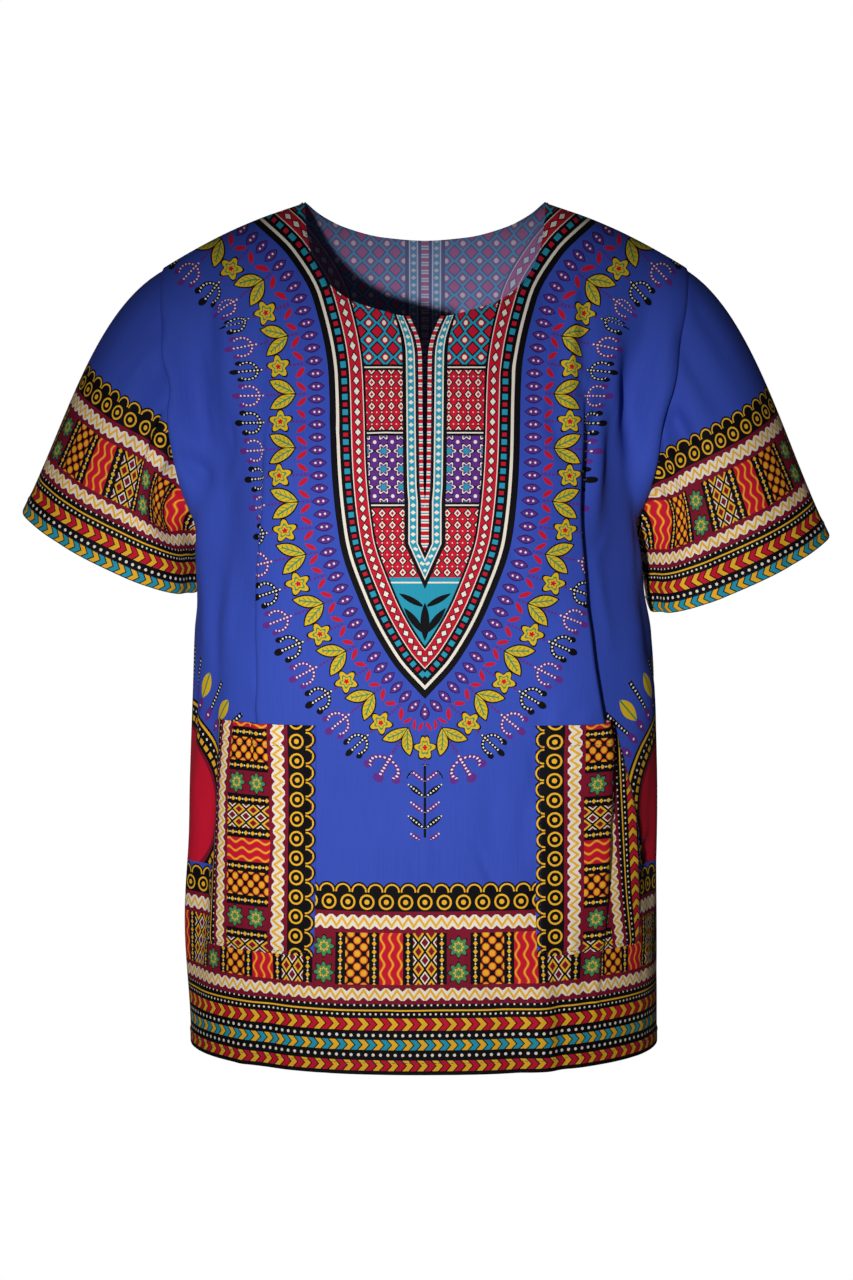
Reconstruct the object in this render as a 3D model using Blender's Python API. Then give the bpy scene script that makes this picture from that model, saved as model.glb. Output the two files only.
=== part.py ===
"""A short-sleeved dashiki shirt in the form it has when worn, with no wearer in it.

Metres, +Z up. The front faces -Y, and +X is the right side as seen from the front.
The origin lies between the two neck points of the shoulder seams, where a wearer's shoulders carry the shirt.

Every panel is a wall of cloth that follows one smooth form. A place on the front or back is given by two numbers:
across, from -1 at the left side seam to 1 at the right one, with 0 at the middle, and
down, from 0 at the neckline or shoulder seam, through 1 at underarm level, to 2 at the hem.
"""

import math
from collections import namedtuple

import bpy
import numpy as np

# Driving sizes
WALL = 0.0015
SEAM_GAP = 0.0003
UNDERARM_Z = -0.285
HEM_Z = -0.732
NECK_SHARE = 0.43
QUARTER_GIRTH = 0.275
POCKET_TOP_Z = -0.440
POCKET_BOTTOM_Z = -0.634
POCKET_INNER = 0.388
POCKET_OUTER = 0.760
SLIT_DOWN = 0.84
POCKET_LEAN = 0.022
POCKET_TOP_DOWN = 1.0 + (UNDERARM_Z - POCKET_TOP_Z) / (UNDERARM_Z - HEM_Z)
POCKET_BOTTOM_DOWN = 1.0 + (UNDERARM_Z - POCKET_BOTTOM_Z) / (UNDERARM_Z - HEM_Z)
FRONT, BACK = -1.0, 1.0
LEFT, RIGHT = -1.0, 1.0

# The neckline and the shoulder seam from the middle outwards: points that the top edge of a panel passes through
Edge = namedtuple("Edge", "across x y z")
FRONT_NECKLINE = [
    Edge(0.00, 0.0000, -0.090, -0.1000),
    Edge(0.10, 0.0280, -0.089, -0.0965),
    Edge(0.20, 0.0560, -0.081, -0.0890),
    Edge(0.28, 0.0775, -0.066, -0.0755),
    Edge(0.34, 0.0920, -0.047, -0.0560),
    Edge(0.38, 0.1000, -0.028, -0.0350),
    Edge(0.41, 0.1035, -0.010, -0.0110),
    Edge(NECK_SHARE, 0.1045, 0.002, 0.0030),
]
BACK_NECKLINE = [
    Edge(0.00, 0.0000, 0.066, -0.0260),
    Edge(0.15, 0.0370, 0.062, -0.0235),
    Edge(0.28, 0.0700, 0.048, -0.0160),
    Edge(0.37, 0.0915, 0.027, -0.0065),
    Edge(NECK_SHARE, 0.1045, 0.002, 0.0030),
]
SHOULDER_SEAM = [
    Edge(NECK_SHARE, 0.1045, 0.002, 0.0030),
    Edge(0.60, 0.1430, 0.003, -0.0105),
    Edge(0.80, 0.1875, 0.002, -0.0310),
    Edge(1.00, 0.2300, 0.000, -0.0550),
    Edge(1.05, 0.2400, -0.001, -0.0620),
]

# Level rings of the body below the underarm: half widths to each side, and depths to the front and back
Ring = namedtuple("Ring", "z left right front back square")
RINGS = [
    Ring(-0.285, 0.1930, 0.1780, 0.137, 0.118, 2.15),
    Ring(-0.335, 0.1975, 0.1880, 0.139, 0.120, 2.15),
    Ring(-0.370, 0.2020, 0.1970, 0.139, 0.120, 2.20),
    Ring(-0.420, 0.2040, 0.2005, 0.140, 0.121, 2.20),
    Ring(-0.520, 0.2075, 0.2030, 0.141, 0.123, 2.20),
    Ring(-0.640, 0.2090, 0.2050, 0.143, 0.126, 2.20),
    Ring(-0.732, 0.2075, 0.2055, 0.145, 0.129, 2.20),
]

# How the cloth leaves the top edge and how fast it reaches underarm level, by its place across
Fall = namedtuple("Fall", "across aside forward drop reach")
FRONT_FALL = [
    Fall(0.00, 0.000, 0.085, 0.170, 0.190),
    Fall(0.20, 0.008, 0.090, 0.170, 0.200),
    Fall(0.30, 0.015, 0.100, 0.165, 0.220),
    Fall(0.38, 0.028, 0.140, 0.150, 0.240),
    Fall(NECK_SHARE, 0.085, 0.180, 0.120, 0.260),
    Fall(0.55, 0.045, 0.205, 0.070, 0.260),
    Fall(0.75, 0.012, 0.215, 0.030, 0.250),
    Fall(1.00, -0.010, 0.220, 0.060, 0.150),
]
BACK_FALL = [
    Fall(0.00, 0.000, 0.110, 0.120, 0.260),
    Fall(0.20, 0.010, 0.120, 0.105, 0.260),
    Fall(0.34, 0.030, 0.150, 0.070, 0.270),
    Fall(NECK_SHARE, 0.060, 0.180, 0.050, 0.280),
    Fall(0.70, 0.000, 0.190, 0.020, 0.260),
    Fall(1.00, -0.010, 0.200, 0.060, 0.150),
]
ARMHOLE_TURN_IN_LEFT = 0.150
ARMHOLE_TURN_IN_RIGHT = 0.120
ARMHOLE_TURN_BACK = 0.190

# Folds that follow a line down a panel: where the line lies across at each height, and how far the cloth stands out
Line = namedtuple("Line", "z across height")
Fold = namedtuple("Fold", "face width tail overlap line")
FOLDS = [
    # The flap on the right, which lies over the cloth nearer the middle
    Fold(FRONT, 0.0100, 0.085, 0.35, [
        Line(-0.120, 0.70, 0.000), Line(-0.170, 0.695, 0.003), Line(-0.220, 0.640, 0.008),
        Line(-0.270, 0.575, 0.012), Line(-0.340, 0.570, 0.012), Line(-0.382, 0.597, 0.012),
        Line(-0.440, 0.622, 0.011), Line(-0.500, 0.655, 0.010), Line(-0.560, 0.657, 0.009),
        Line(-0.630, 0.645, 0.006), Line(-0.690, 0.635, 0.002), Line(-0.732, 0.630, 0.000),
    ]),
    # The shallower crease that mirrors it on the left
    Fold(FRONT, 0.0090, 0.060, 0.30, [
        Line(-0.180, -0.60, 0.000), Line(-0.240, -0.592, 0.004), Line(-0.320, -0.590, 0.0065),
        Line(-0.400, -0.592, 0.005), Line(-0.450, -0.595, 0.002), Line(-0.500, -0.60, 0.000),
    ]),
]

# Soft troughs and ridges: a straight run from one end to the other, with the height at its middle
Soft = namedtuple("Soft", "face across_top across_bottom z_top z_bottom width height")
SOFT_FOLDS = [
    Soft(FRONT, -0.745, -0.840, -0.340, -0.720, 0.0150, -0.0100),
    Soft(FRONT, -0.800, -0.730, -0.130, -0.360, 0.0220, -0.0060),
    Soft(FRONT, -0.870, -0.870, -0.190, -0.375, 0.0240, 0.0100),
    Soft(FRONT, 0.870, 0.870, -0.190, -0.385, 0.0240, 0.0090),
    Soft(FRONT, -0.480, -0.530, -0.140, -0.420, 0.0260, 0.0030),
    Soft(FRONT, -0.300, -0.340, -0.560, -0.760, 0.0300, 0.0030),
    Soft(FRONT, 0.430, 0.470, -0.620, -0.780, 0.0160, 0.0060),
    Soft(FRONT, 0.800, 0.740, -0.100, -0.290, 0.0220, -0.0060),
    Soft(FRONT, 0.830, 0.890, -0.400, -0.720, 0.0180, -0.0070),
    Soft(FRONT, 0.100, 0.060, -0.560, -0.760, 0.0300, -0.0025),
    Soft(BACK, -0.620, -0.560, -0.200, -0.700, 0.0220, -0.0110),
    Soft(BACK, 0.600, 0.640, -0.180, -0.720, 0.0220, -0.0110),
    Soft(BACK, -0.280, -0.330, -0.330, -0.800, 0.0240, 0.0080),
    Soft(BACK, 0.240, 0.350, -0.300, -0.800, 0.0260, 0.0080),
    Soft(BACK, 0.020, -0.020, -0.100, -0.460, 0.0280, -0.0050),
    Soft(BACK, 0.020, 0.040, -0.480, -0.800, 0.0240, -0.0070),
    Soft(BACK, -0.840, -0.760, -0.140, -0.330, 0.0160, -0.0080),
    Soft(BACK, 0.840, 0.770, -0.150, -0.320, 0.0160, -0.0080),
]

# The grid lines of each panel: runs of evenly spaced lines, closer where a fold passes
Run = namedtuple("Run", "start end count")
FRONT_COLUMNS = [
    Run(-1.0, -POCKET_OUTER, 9), Run(-POCKET_OUTER, -0.54, 9), Run(-0.54, -NECK_SHARE, 2),
    Run(-NECK_SHARE, -POCKET_INNER, 3), Run(-POCKET_INNER, 0.0, 8), Run(0.0, POCKET_INNER, 8),
    Run(POCKET_INNER, NECK_SHARE, 3), Run(NECK_SHARE, 0.53, 2), Run(0.53, POCKET_OUTER, 14),
    Run(POCKET_OUTER, 1.0, 8),
]
BACK_COLUMNS = [
    Run(-1.0, -NECK_SHARE, 11), Run(-NECK_SHARE, -0.30, 5), Run(-0.30, 0.0, 5),
    Run(0.0, 0.30, 5), Run(0.30, NECK_SHARE, 5), Run(NECK_SHARE, 1.0, 11),
]
UPPER_ROWS = [Run(0.0, 0.12, 2), Run(0.12, SLIT_DOWN, 8), Run(SLIT_DOWN, 1.0, 2)]
LOWER_ROWS = [Run(1.0, POCKET_TOP_DOWN, 5), Run(POCKET_TOP_DOWN, POCKET_BOTTOM_DOWN, 7), Run(POCKET_BOTTOM_DOWN, 2.0, 4)]

# The centre slit below the neckline: half its gap at each place down, spread over the cloth beside it
Gap = namedtuple("Gap", "down half")
SLIT_GAPS = [Gap(0.0, 0.0100), Gap(0.08, 0.0045), Gap(0.16, 0.0012), Gap(0.50, 0.0006), Gap(SLIT_DOWN, 0.0)]
SLIT_SPREAD = 0.045

# Sleeves: the open cuff of each, and the directions in which the tube leaves the armhole and reaches the cuff
Cuff = namedtuple("Cuff", "side centre outward forward bulge lift")
CUFFS = [
    Cuff(LEFT, (-0.2762, 0.008, -0.2990), (-0.0759, 0.0, 0.0360), (0.0, -0.060, -0.0140), 0.010, 0.022),
    Cuff(RIGHT, (0.2762, 0.008, -0.3182), (0.0780, 0.0, 0.0340), (0.0, -0.060, -0.0120), 0.004, 0.014),
]
Leave = namedtuple("Leave", "turn out forward drop reach")
SLEEVE_FALL = [
    Leave(0.00, 0.170, 0.000, 0.125, 0.250),
    Leave(0.25, 0.090, 0.030, 0.090, 0.170),
    Leave(0.50, 0.055, 0.000, 0.030, 0.060),
    Leave(0.75, 0.090, -0.030, 0.090, 0.170),
    Leave(1.00, 0.170, 0.000, 0.125, 0.250),
]
ARM_OUT, ARM_DROP = 0.45, 0.89
SLEEVE_ROWS = [Run(0.0, 0.24, 3), Run(0.24, 1.0, 7)]
# Soft waves of a sleeve: where round it and how wide, at armhole and cuff, and the height at its middle
Wave = namedtuple("Wave", "turn_top turn_cuff along_top along_cuff width height")
SLEEVE_WAVES = [
    Wave(0.20, 0.13, 0.25, 1.10, 0.050, 0.0050),
    Wave(0.27, 0.24, 0.30, 1.15, 0.045, -0.0055),
    Wave(0.36, 0.33, 0.10, 0.75, 0.050, -0.0080),
    Wave(0.33, 0.36, 0.55, 1.20, 0.050, 0.0040),
    Wave(0.64, 0.66, 0.05, 0.75, 0.050, -0.0070),
    Wave(0.76, 0.80, 0.30, 1.20, 0.055, 0.0050),
    Wave(0.86, 0.90, 0.30, 1.10, 0.045, -0.0045),
]

STEP = 1e-4
BROAD = 0.04


def soft_step(x):
    """Rises smoothly from 0 at x = 0 to 1 at x = 1."""
    x = np.clip(x, 0.0, 1.0)
    return x * x * (3.0 - 2.0 * x)


def between(rows, key, value, at, level=False):
    """The named value of a table at each place of its key column, on a smooth curve through the rows.

    level makes the curve start level, for values that are the same on both sides of the middle.
    """
    x = np.array([getattr(row, key) for row in rows])
    y = np.array([getattr(row, value) for row in rows])
    if x[0] > x[-1]:
        x, y = x[::-1], y[::-1]
    rise = np.diff(y) / np.diff(x)
    turns = rise[:-1] * rise[1:] <= 0.0
    middle = np.where(turns, 0.0, 2.0 * rise[:-1] * rise[1:] / np.where(turns, 1.0, rise[:-1] + rise[1:]))
    slope = np.concatenate([[rise[0]], middle, [rise[-1]]])
    if level:
        slope[0] = 0.0
    at = np.clip(at, x[0], x[-1])
    i = np.clip(np.searchsorted(x, at, side="right") - 1, 0, len(x) - 2)
    length = x[i + 1] - x[i]
    t = (at - x[i]) / length
    return (
        y[i] * (1 + 2 * t) * (1 - t) ** 2
        + slope[i] * length * t * (1 - t) ** 2
        + y[i + 1] * t * t * (3 - 2 * t)
        + slope[i + 1] * length * t * t * (t - 1)
    )


def lines(*runs):
    """The places of the grid lines that a list of runs describes, each line once."""
    places = [runs[0].start]
    for run in runs:
        for i in range(run.count):
            places.append(run.start + (run.end - run.start) * (i + 1) / run.count)
    return places


def unit(vectors):
    return vectors / np.linalg.norm(vectors, axis=-1, keepdims=True)


def hermite(start, leave, end, reach, t):
    """A cubic from start to end that leaves and arrives with the given directions."""
    t = t[..., None]
    return (
        start * (1 + 2 * t) * (1 - t) ** 2
        + leave * t * (1 - t) ** 2
        + end * t * t * (3 - 2 * t)
        + reach * t * t * (t - 1)
    )


def ring(across, z, face):
    """A point of the level ring at height z."""
    angle = across * math.pi / 2.0
    side = np.where(across < 0.0, between(RINGS, "z", "left", z), between(RINGS, "z", "right", z))
    depth = between(RINGS, "z", "front" if face == FRONT else "back", z)
    square = between(RINGS, "z", "square", z)
    reach = (np.abs(np.cos(angle)) / depth) ** square + (np.abs(np.sin(angle)) / side) ** square
    reach = reach ** (-1.0 / square)
    return np.stack([reach * np.sin(angle), face * reach * np.cos(angle), z + 0.0 * angle], axis=-1)


def top_edge(across, face):
    """A point of the neckline or of the shoulder seam."""
    away = np.abs(across)
    neckline = FRONT_NECKLINE if face == FRONT else BACK_NECKLINE
    point = [
        np.where(
            away < NECK_SHARE,
            between(neckline, "across", axis, away, level=axis != "x"),
            between(SHOULDER_SEAM, "across", axis, away),
        )
        for axis in "xyz"
    ]
    return np.stack([point[0] * np.sign(across), point[1], point[2]], axis=-1)


def smooth_form(across, down, face):
    """The panel's form without its folds."""
    upper = np.clip(down, 0.0, 1.0)
    z = UNDERARM_Z + (HEM_Z - UNDERARM_Z) * np.clip(down - 1.0, 0.0, 1.0)
    low = ring(across, z, face)
    away = np.abs(across)
    table = FRONT_FALL if face == FRONT else BACK_FALL
    forward = between(table, "across", "forward", away, level=True)
    drop = between(table, "across", "drop", away, level=True)
    reach = between(table, "across", "reach", away, level=True)
    aside = between(table, "across", "aside", away) * np.sign(across)
    leave = np.stack([aside, face * forward, -drop], axis=-1)
    underarm = UNDERARM_Z + 0.0 * away
    hang = unit(ring(across, underarm - STEP, face) - ring(across, underarm, face))
    turn = soft_step((away - 0.84) / 0.16)[..., None]
    turn_in = np.where(across < 0.0, ARMHOLE_TURN_IN_LEFT, -ARMHOLE_TURN_IN_RIGHT)
    inward = unit(np.stack([turn_in, -face * ARMHOLE_TURN_BACK + 0.0 * away, -reach], axis=-1))
    arrive = unit(hang * (1.0 - turn) + inward * turn) * (reach + 0.07 * turn[..., 0])[..., None]
    high = hermite(top_edge(across, face), leave, ring(across, underarm, face), arrive, upper)
    return np.where((down < 1.0)[..., None], high, low)


def follow_folds(across, down, z, face):
    """Bends the grid lines beside each long fold, and at the pockets' leaning outer edges, so that they run along."""
    shift = np.zeros_like(across)
    for fold in FOLDS:
        if fold.face != face:
            continue
        home = 0.62 * np.sign(fold.line[0].across)
        lean = between(fold.line, "z", "across", z) - home
        shift += lean * soft_step(1.0 - np.abs(across - home) / 0.34)
    if face == FRONT:
        middle = (POCKET_TOP_Z + POCKET_BOTTOM_Z) / 2.0
        lean = np.clip((middle - z) / (middle - POCKET_BOTTOM_Z), -1.0, 1.0)
        lean = lean * soft_step((z - HEM_Z) / 0.09) * soft_step((-0.300 - z) / 0.13)
        shift += POCKET_LEAN * np.sign(across) * lean * soft_step(1.0 - np.abs(np.abs(across) - POCKET_OUTER) / 0.2)
    return across + shift * soft_step(down / 0.3)


def fold_shift(across, z, face):
    """How far the folds move the cloth: outwards, and along the panel towards its side."""
    out = np.zeros_like(across)
    along = np.zeros_like(across)
    for fold in FOLDS:
        if fold.face != face:
            continue
        side = np.sign(fold.line[0].across)
        home = between(fold.line, "z", "across", z)
        height = between(fold.line, "z", "height", z)
        past = (across - home) * side * QUARTER_GIRTH
        step = soft_step(past / fold.width * 0.5 + 0.5)
        tail = np.exp(-((np.maximum(past, 0.0) / fold.tail) ** 2))
        out += height * step * tail
        along -= side * fold.overlap * height * np.exp(-(((past - 0.45 * fold.width) / (1.25 * fold.width)) ** 2))
    for fold in SOFT_FOLDS:
        if fold.face != face:
            continue
        t = (z - fold.z_top) / (fold.z_bottom - fold.z_top)
        home = fold.across_top + (fold.across_bottom - fold.across_top) * t
        along_run = np.where((t > 0.0) & (t < 1.0), np.sin(np.pi * np.clip(t, 0.0, 1.0)) ** 2, 0.0)
        past = (across - home) * QUARTER_GIRTH / fold.width
        out += fold.height * along_run * np.exp(-(past**2))
    edge = soft_step((1.0 - np.abs(across)) / 0.14)
    return out * edge, along * edge


def panel(column, down, face, half=0.0):
    """A point of the outer surface of the front or back. half is the side of the slit that the point belongs to."""
    first = smooth_form(column, down, face)
    across = follow_folds(column, down, first[..., 2], face)
    base = smooth_form(across, down, face)
    z = base[..., 2]
    tangent = unit(smooth_form(across + BROAD, down, face) - smooth_form(across - BROAD, down, face))
    ahead = smooth_form(across, np.minimum(down + BROAD, 2.0), face)
    behind = smooth_form(across, np.maximum(down - BROAD, 0.0), face)
    normal = unit(np.cross(tangent, ahead - behind)) * face
    fade = soft_step(down / 0.25)
    out, along = fold_shift(across, z, face)
    point = base + normal * (out * fade)[..., None] + tangent * (along * fade)[..., None]
    if face == FRONT:
        gap = between(SLIT_GAPS, "down", "half", np.clip(down, 0.0, SLIT_DOWN))
        point[..., 0] += half * gap * soft_step(1.0 - np.abs(base[..., 0]) / SLIT_SPREAD)
    return point


def normals(surface, u, v, low, high):
    """Unit normals of a surface function, from points close by, kept inside the range of v."""
    across = surface(u + STEP, v) - surface(u - STEP, v)
    along = surface(u, np.minimum(v + STEP, high)) - surface(u, np.maximum(v - STEP, low))
    return unit(np.cross(across, along))


def add_wall(name, outer, inner, faces, colour):
    """A closed wall of cloth: an outer and an inner skin, joined round every free edge."""
    count = len(outer)
    once = {}
    for face in faces:
        for a, b in zip(face, face[1:] + face[:1]):
            once[(a, b)] = True
    rim = [(b, a, a + count, b + count) for a, b in once if (b, a) not in once]
    inside = [tuple(i + count for i in reversed(face)) for face in faces]
    mesh = bpy.data.meshes.new(name)
    mesh.from_pydata(np.concatenate([outer, inner]).tolist(), [], faces + inside + rim)
    mesh.validate()
    mesh.shade_smooth()
    mesh.set_sharp_from_angle(angle=math.radians(50.0))
    mesh.materials.append(colour)
    thing = bpy.data.objects.new(name, mesh)
    bpy.context.scene.collection.objects.link(thing)
    return thing


def grid_faces(rows, columns, flip, skipped=-1):
    """Two triangles for each cell between numbered grid points, all split the same way, but for a skipped column."""
    faces = []
    for i in range(len(rows) - 1):
        for j in range(columns):
            if j == skipped:
                continue
            a, b, c, d = rows[i][j], rows[i][j + 1], rows[i + 1][j + 1], rows[i + 1][j]
            for face in ((a, b, c), (a, c, d)):
                faces.append(tuple(reversed(face)) if flip else face)
    return faces


def trimmed_ends(places, face):
    """Pulls the side edges of a panel back by half the gap of the side seam."""
    pull = SEAM_GAP / 2.0 / QUARTER_GIRTH
    return [min(max(place, -1.0 + pull), 1.0 - pull) for place in places]


def build_panel(name, face, column_runs, colour):
    """The front or back panel. On the front the middle column is split down to the foot of the slit."""
    down_places = lines(*UPPER_ROWS)[:-1] + lines(*LOWER_ROWS)
    down_places[0] = 0.0008
    column_places = trimmed_ends(lines(*column_runs), face)
    middle = min(range(len(column_places)), key=lambda i: abs(column_places[i]))
    halves = [LEFT if i <= middle else RIGHT for i in range(len(column_places))]
    column_places.insert(middle + 1, column_places[middle])
    halves.insert(middle + 1, RIGHT)
    slit_row = min(i for i, place in enumerate(down_places) if place > SLIT_DOWN - STEP)
    column, down = np.meshgrid(np.array(column_places), np.array(down_places))
    half = np.broadcast_to(np.array(halves), column.shape)
    sign = half if face == FRONT else 0.0 * half

    def surface(u, v):
        return panel(u, v, face, sign)

    outer = surface(column, down)
    normal = normals(surface, column, down, 0.0, 2.0) * face
    normal[0] = shoulder_normals(column[0], normal[0], face)
    inner = outer - normal * WALL
    rows = np.arange(outer.shape[0] * outer.shape[1]).reshape(column.shape)
    joined_from = slit_row if face == FRONT else 0
    rows[joined_from:, middle + 1] = rows[joined_from:, middle]

    faces = grid_faces(rows.tolist(), len(column_places) - 1, face == FRONT, middle)
    outer, inner, faces = used_only(outer.reshape(-1, 3), inner.reshape(-1, 3), faces)
    return add_wall(name, outer, inner, faces, colour)


def shoulder_normals(column, normal, face):
    """The normals of the top edge: on the shoulder seam, those that the front and back share."""
    across, top = column, 0.0 * column
    front = normals(lambda u, v: smooth_form(u, v, FRONT), across, top, 0.0, 1.0) * FRONT
    back = normals(lambda u, v: smooth_form(u, v, BACK), across, top, 0.0, 1.0) * BACK
    share = soft_step((np.abs(across) - NECK_SHARE + 0.03) / 0.03)[..., None]
    return unit(unit(front + back) * share + normal * (1.0 - share))


def used_only(outer, inner, faces):
    """Leaves out the points that no face uses."""
    used = sorted({i for face in faces for i in face})
    number = {old: new for new, old in enumerate(used)}
    return outer[used], inner[used], [tuple(number[i] for i in face) for face in faces]


def build_pocket(name, side, colour):
    """A patch pocket, which lies on the front's own points, moved out."""
    column_places = [place for place in lines(*FRONT_COLUMNS)
                     if POCKET_INNER - STEP < place * side < POCKET_OUTER + STEP]
    down_places = [place for place in lines(*LOWER_ROWS)
                   if POCKET_TOP_DOWN - STEP < place < POCKET_BOTTOM_DOWN + STEP]
    column, down = np.meshgrid(np.array(column_places), np.array(down_places))

    def surface(u, v):
        return panel(u, v, FRONT)

    base = surface(column, down)
    normal = normals(surface, column, down, 1.0, 2.0) * FRONT
    inner = (base + normal * SEAM_GAP).reshape(-1, 3)
    outer = (base + normal * (SEAM_GAP + WALL)).reshape(-1, 3)
    rows = np.arange(len(inner)).reshape(column.shape).tolist()
    faces = grid_faces(rows, len(column_places) - 1, True)
    return add_wall(name, outer, inner, faces, colour)


def armhole(turn, side):
    """A point of the armhole edge: 0 and 1 at the shoulder, 0.5 at the underarm, the front half first."""
    front = panel(side + 0.0 * turn, np.clip(2.0 * turn, 0.0, 1.0), FRONT)
    back = panel(side + 0.0 * turn, np.clip(2.0 - 2.0 * turn, 0.0, 1.0), BACK)
    return np.where((turn <= 0.5)[..., None], front, back)


def sleeve(turn, along, cuff):
    """A point of the sleeve's outer surface, from the armhole at along = 0 to the cuff at 1."""
    side = cuff.side
    turn = turn % 1.0
    centre, outward, forward = (np.array(v) for v in (cuff.centre, cuff.outward, cuff.forward))
    angle = 2.0 * math.pi * turn[..., None]
    cuff_point = centre + np.cos(angle) * outward + np.sin(angle) * forward
    out, ahead, drop, reach = (
        between(SLEEVE_FALL, "turn", column, turn) for column in ("out", "forward", "drop", "reach")
    )
    top = np.maximum(np.cos(2.0 * math.pi * turn), 0.0) ** 2
    leave = np.stack([side * (out + cuff.bulge * top), -ahead, cuff.lift * top - drop], axis=-1)
    arrive = np.array([side * ARM_OUT, 0.0, -ARM_DROP]) * reach[..., None]
    return hermite(armhole(turn, side), leave, cuff_point, arrive, along)


def waved_sleeve(turn, along, cuff):
    """The sleeve with its soft waves."""
    base = sleeve(turn, along, cuff)
    ahead = sleeve(turn, np.minimum(along + STEP, 1.0), cuff) - sleeve(turn, np.maximum(along - STEP, 0.0), cuff)
    round_it = sleeve(turn + STEP, along, cuff) - sleeve(turn - STEP, along, cuff)
    normal = unit(np.cross(round_it, ahead)) * cuff.side
    out = np.zeros_like(turn)
    for wave in SLEEVE_WAVES:
        t = (along - wave.along_top) / (wave.along_cuff - wave.along_top)
        home = wave.turn_top + (wave.turn_cuff - wave.turn_top) * t
        run = np.where((t > 0.0) & (t < 1.0), np.sin(np.pi * np.clip(t, 0.0, 1.0)) ** 2, 0.0)
        out += wave.height * run * np.exp(-(((turn - home) / wave.width) ** 2))
    return base + normal * out[..., None]


def armhole_normals(turn, side):
    """The normals of the panels at the armhole edge."""
    v_front = np.clip(2.0 * turn, 0.0, 1.0)
    v_back = np.clip(2.0 - 2.0 * turn, 0.0, 1.0)
    u = side + 0.0 * turn
    front = normals(lambda a, b: panel(a, b, FRONT), u, v_front, 0.0, 1.0) * FRONT
    back = normals(lambda a, b: panel(a, b, BACK), u, v_back, 0.0, 1.0) * BACK
    return np.where((turn <= 0.5)[..., None], front, back)


def build_sleeve(name, cuff, colour):
    """A sleeve: a tube of cloth, sewn into the armhole. Its seam edge shares the panels' slant where they meet flat."""
    halfway = np.array(lines(*UPPER_ROWS)) / 2.0
    turns = np.concatenate([halfway, 1.0 - halfway[-2:0:-1]])
    places = np.array(lines(*SLEEVE_ROWS))
    turn, along = np.meshgrid(turns, places)
    seam_start = SEAM_GAP * (1.0 + 0.6 * np.exp(-(((turns - 0.5) / 0.12) ** 2)))
    leave = [between(SLEEVE_FALL, "turn", column, turns) for column in ("out", "forward", "drop")]
    along[0] = seam_start / np.linalg.norm(leave, axis=0)

    def surface(u, v):
        return waved_sleeve(u, v, cuff)

    outer = surface(turn, along)
    normal = normals(surface, turn, along, 0.0, 1.0) * cuff.side
    seam = armhole_normals(turns, cuff.side)
    agree = soft_step(((seam * normal[0]).sum(axis=-1) - 0.3) / 0.5)[..., None]
    normal[0] = unit(seam * agree + normal[0] * (1.0 - agree))
    inner = outer - normal * WALL
    rows = np.arange(outer.shape[0] * len(turns)).reshape(outer.shape[:2])
    rows = np.concatenate([rows, rows[:, :1]], axis=1).tolist()
    faces = grid_faces(rows, len(turns), cuff.side < 0.0)
    return add_wall(name, outer.reshape(-1, 3), inner.reshape(-1, 3), faces, colour)


def cloth_material(name, colour):
    """A plain cotton colour for the solids."""
    material = bpy.data.materials.new(name)
    material.use_nodes = True
    shader = material.node_tree.nodes["Principled BSDF"]
    shader.inputs["Base Color"].default_value = (*colour, 1.0)
    shader.inputs["Roughness"].default_value = 0.75
    shader.inputs["Metallic"].default_value = 0.0
    return material


def main():
    for thing in list(bpy.data.objects):
        bpy.data.objects.remove(thing)
    blue = cloth_material("blue_cotton", (0.050, 0.075, 0.400))
    border = cloth_material("border_cotton", (0.300, 0.150, 0.020))
    build_panel("front", FRONT, FRONT_COLUMNS, blue)
    build_panel("back", BACK, BACK_COLUMNS, blue)
    for cuff in CUFFS:
        build_sleeve("sleeve_left" if cuff.side < 0.0 else "sleeve_right", cuff, blue)
    build_pocket("pocket_left", LEFT, border)
    build_pocket("pocket_right", RIGHT, border)


main()
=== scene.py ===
"""A printed cotton dashiki shirt in the form it has when worn: cloth shells on the forms of the solids.

Metres, +Z up. The front faces -Y, and +X is the right side as seen from the front.
A place on the front or back is given by two numbers, as in the solids:
across, from -1 at the left side seam to 1 at the right one, with 0 at the middle, and
down, from 0 at the neckline or shoulder seam, through 1 at underarm level, to 2 at the hem.
"""

import math
from collections import namedtuple

import bpy
import numpy as np
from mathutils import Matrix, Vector


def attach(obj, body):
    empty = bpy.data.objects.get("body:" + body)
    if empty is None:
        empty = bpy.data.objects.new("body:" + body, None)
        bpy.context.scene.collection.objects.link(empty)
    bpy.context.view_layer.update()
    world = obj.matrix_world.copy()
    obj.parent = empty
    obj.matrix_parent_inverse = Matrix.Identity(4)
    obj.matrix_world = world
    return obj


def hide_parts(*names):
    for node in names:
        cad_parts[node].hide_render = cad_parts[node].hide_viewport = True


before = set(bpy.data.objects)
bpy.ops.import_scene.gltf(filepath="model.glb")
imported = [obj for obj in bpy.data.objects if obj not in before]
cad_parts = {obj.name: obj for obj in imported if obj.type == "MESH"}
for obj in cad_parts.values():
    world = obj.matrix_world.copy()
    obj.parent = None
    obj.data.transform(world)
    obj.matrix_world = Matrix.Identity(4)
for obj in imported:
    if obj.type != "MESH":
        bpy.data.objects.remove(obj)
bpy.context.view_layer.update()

# Driving sizes
SEAM_GAP = 0.0003
UNDERARM_Z = -0.285
HEM_Z = -0.732
NECK_SHARE = 0.43
QUARTER_GIRTH = 0.275
POCKET_TOP_Z = -0.440
POCKET_BOTTOM_Z = -0.634
POCKET_INNER = 0.388
POCKET_OUTER = 0.760
SLIT_DOWN = 0.84
POCKET_TOP_DOWN = 1.0 + (UNDERARM_Z - POCKET_TOP_Z) / (UNDERARM_Z - HEM_Z)
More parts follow.
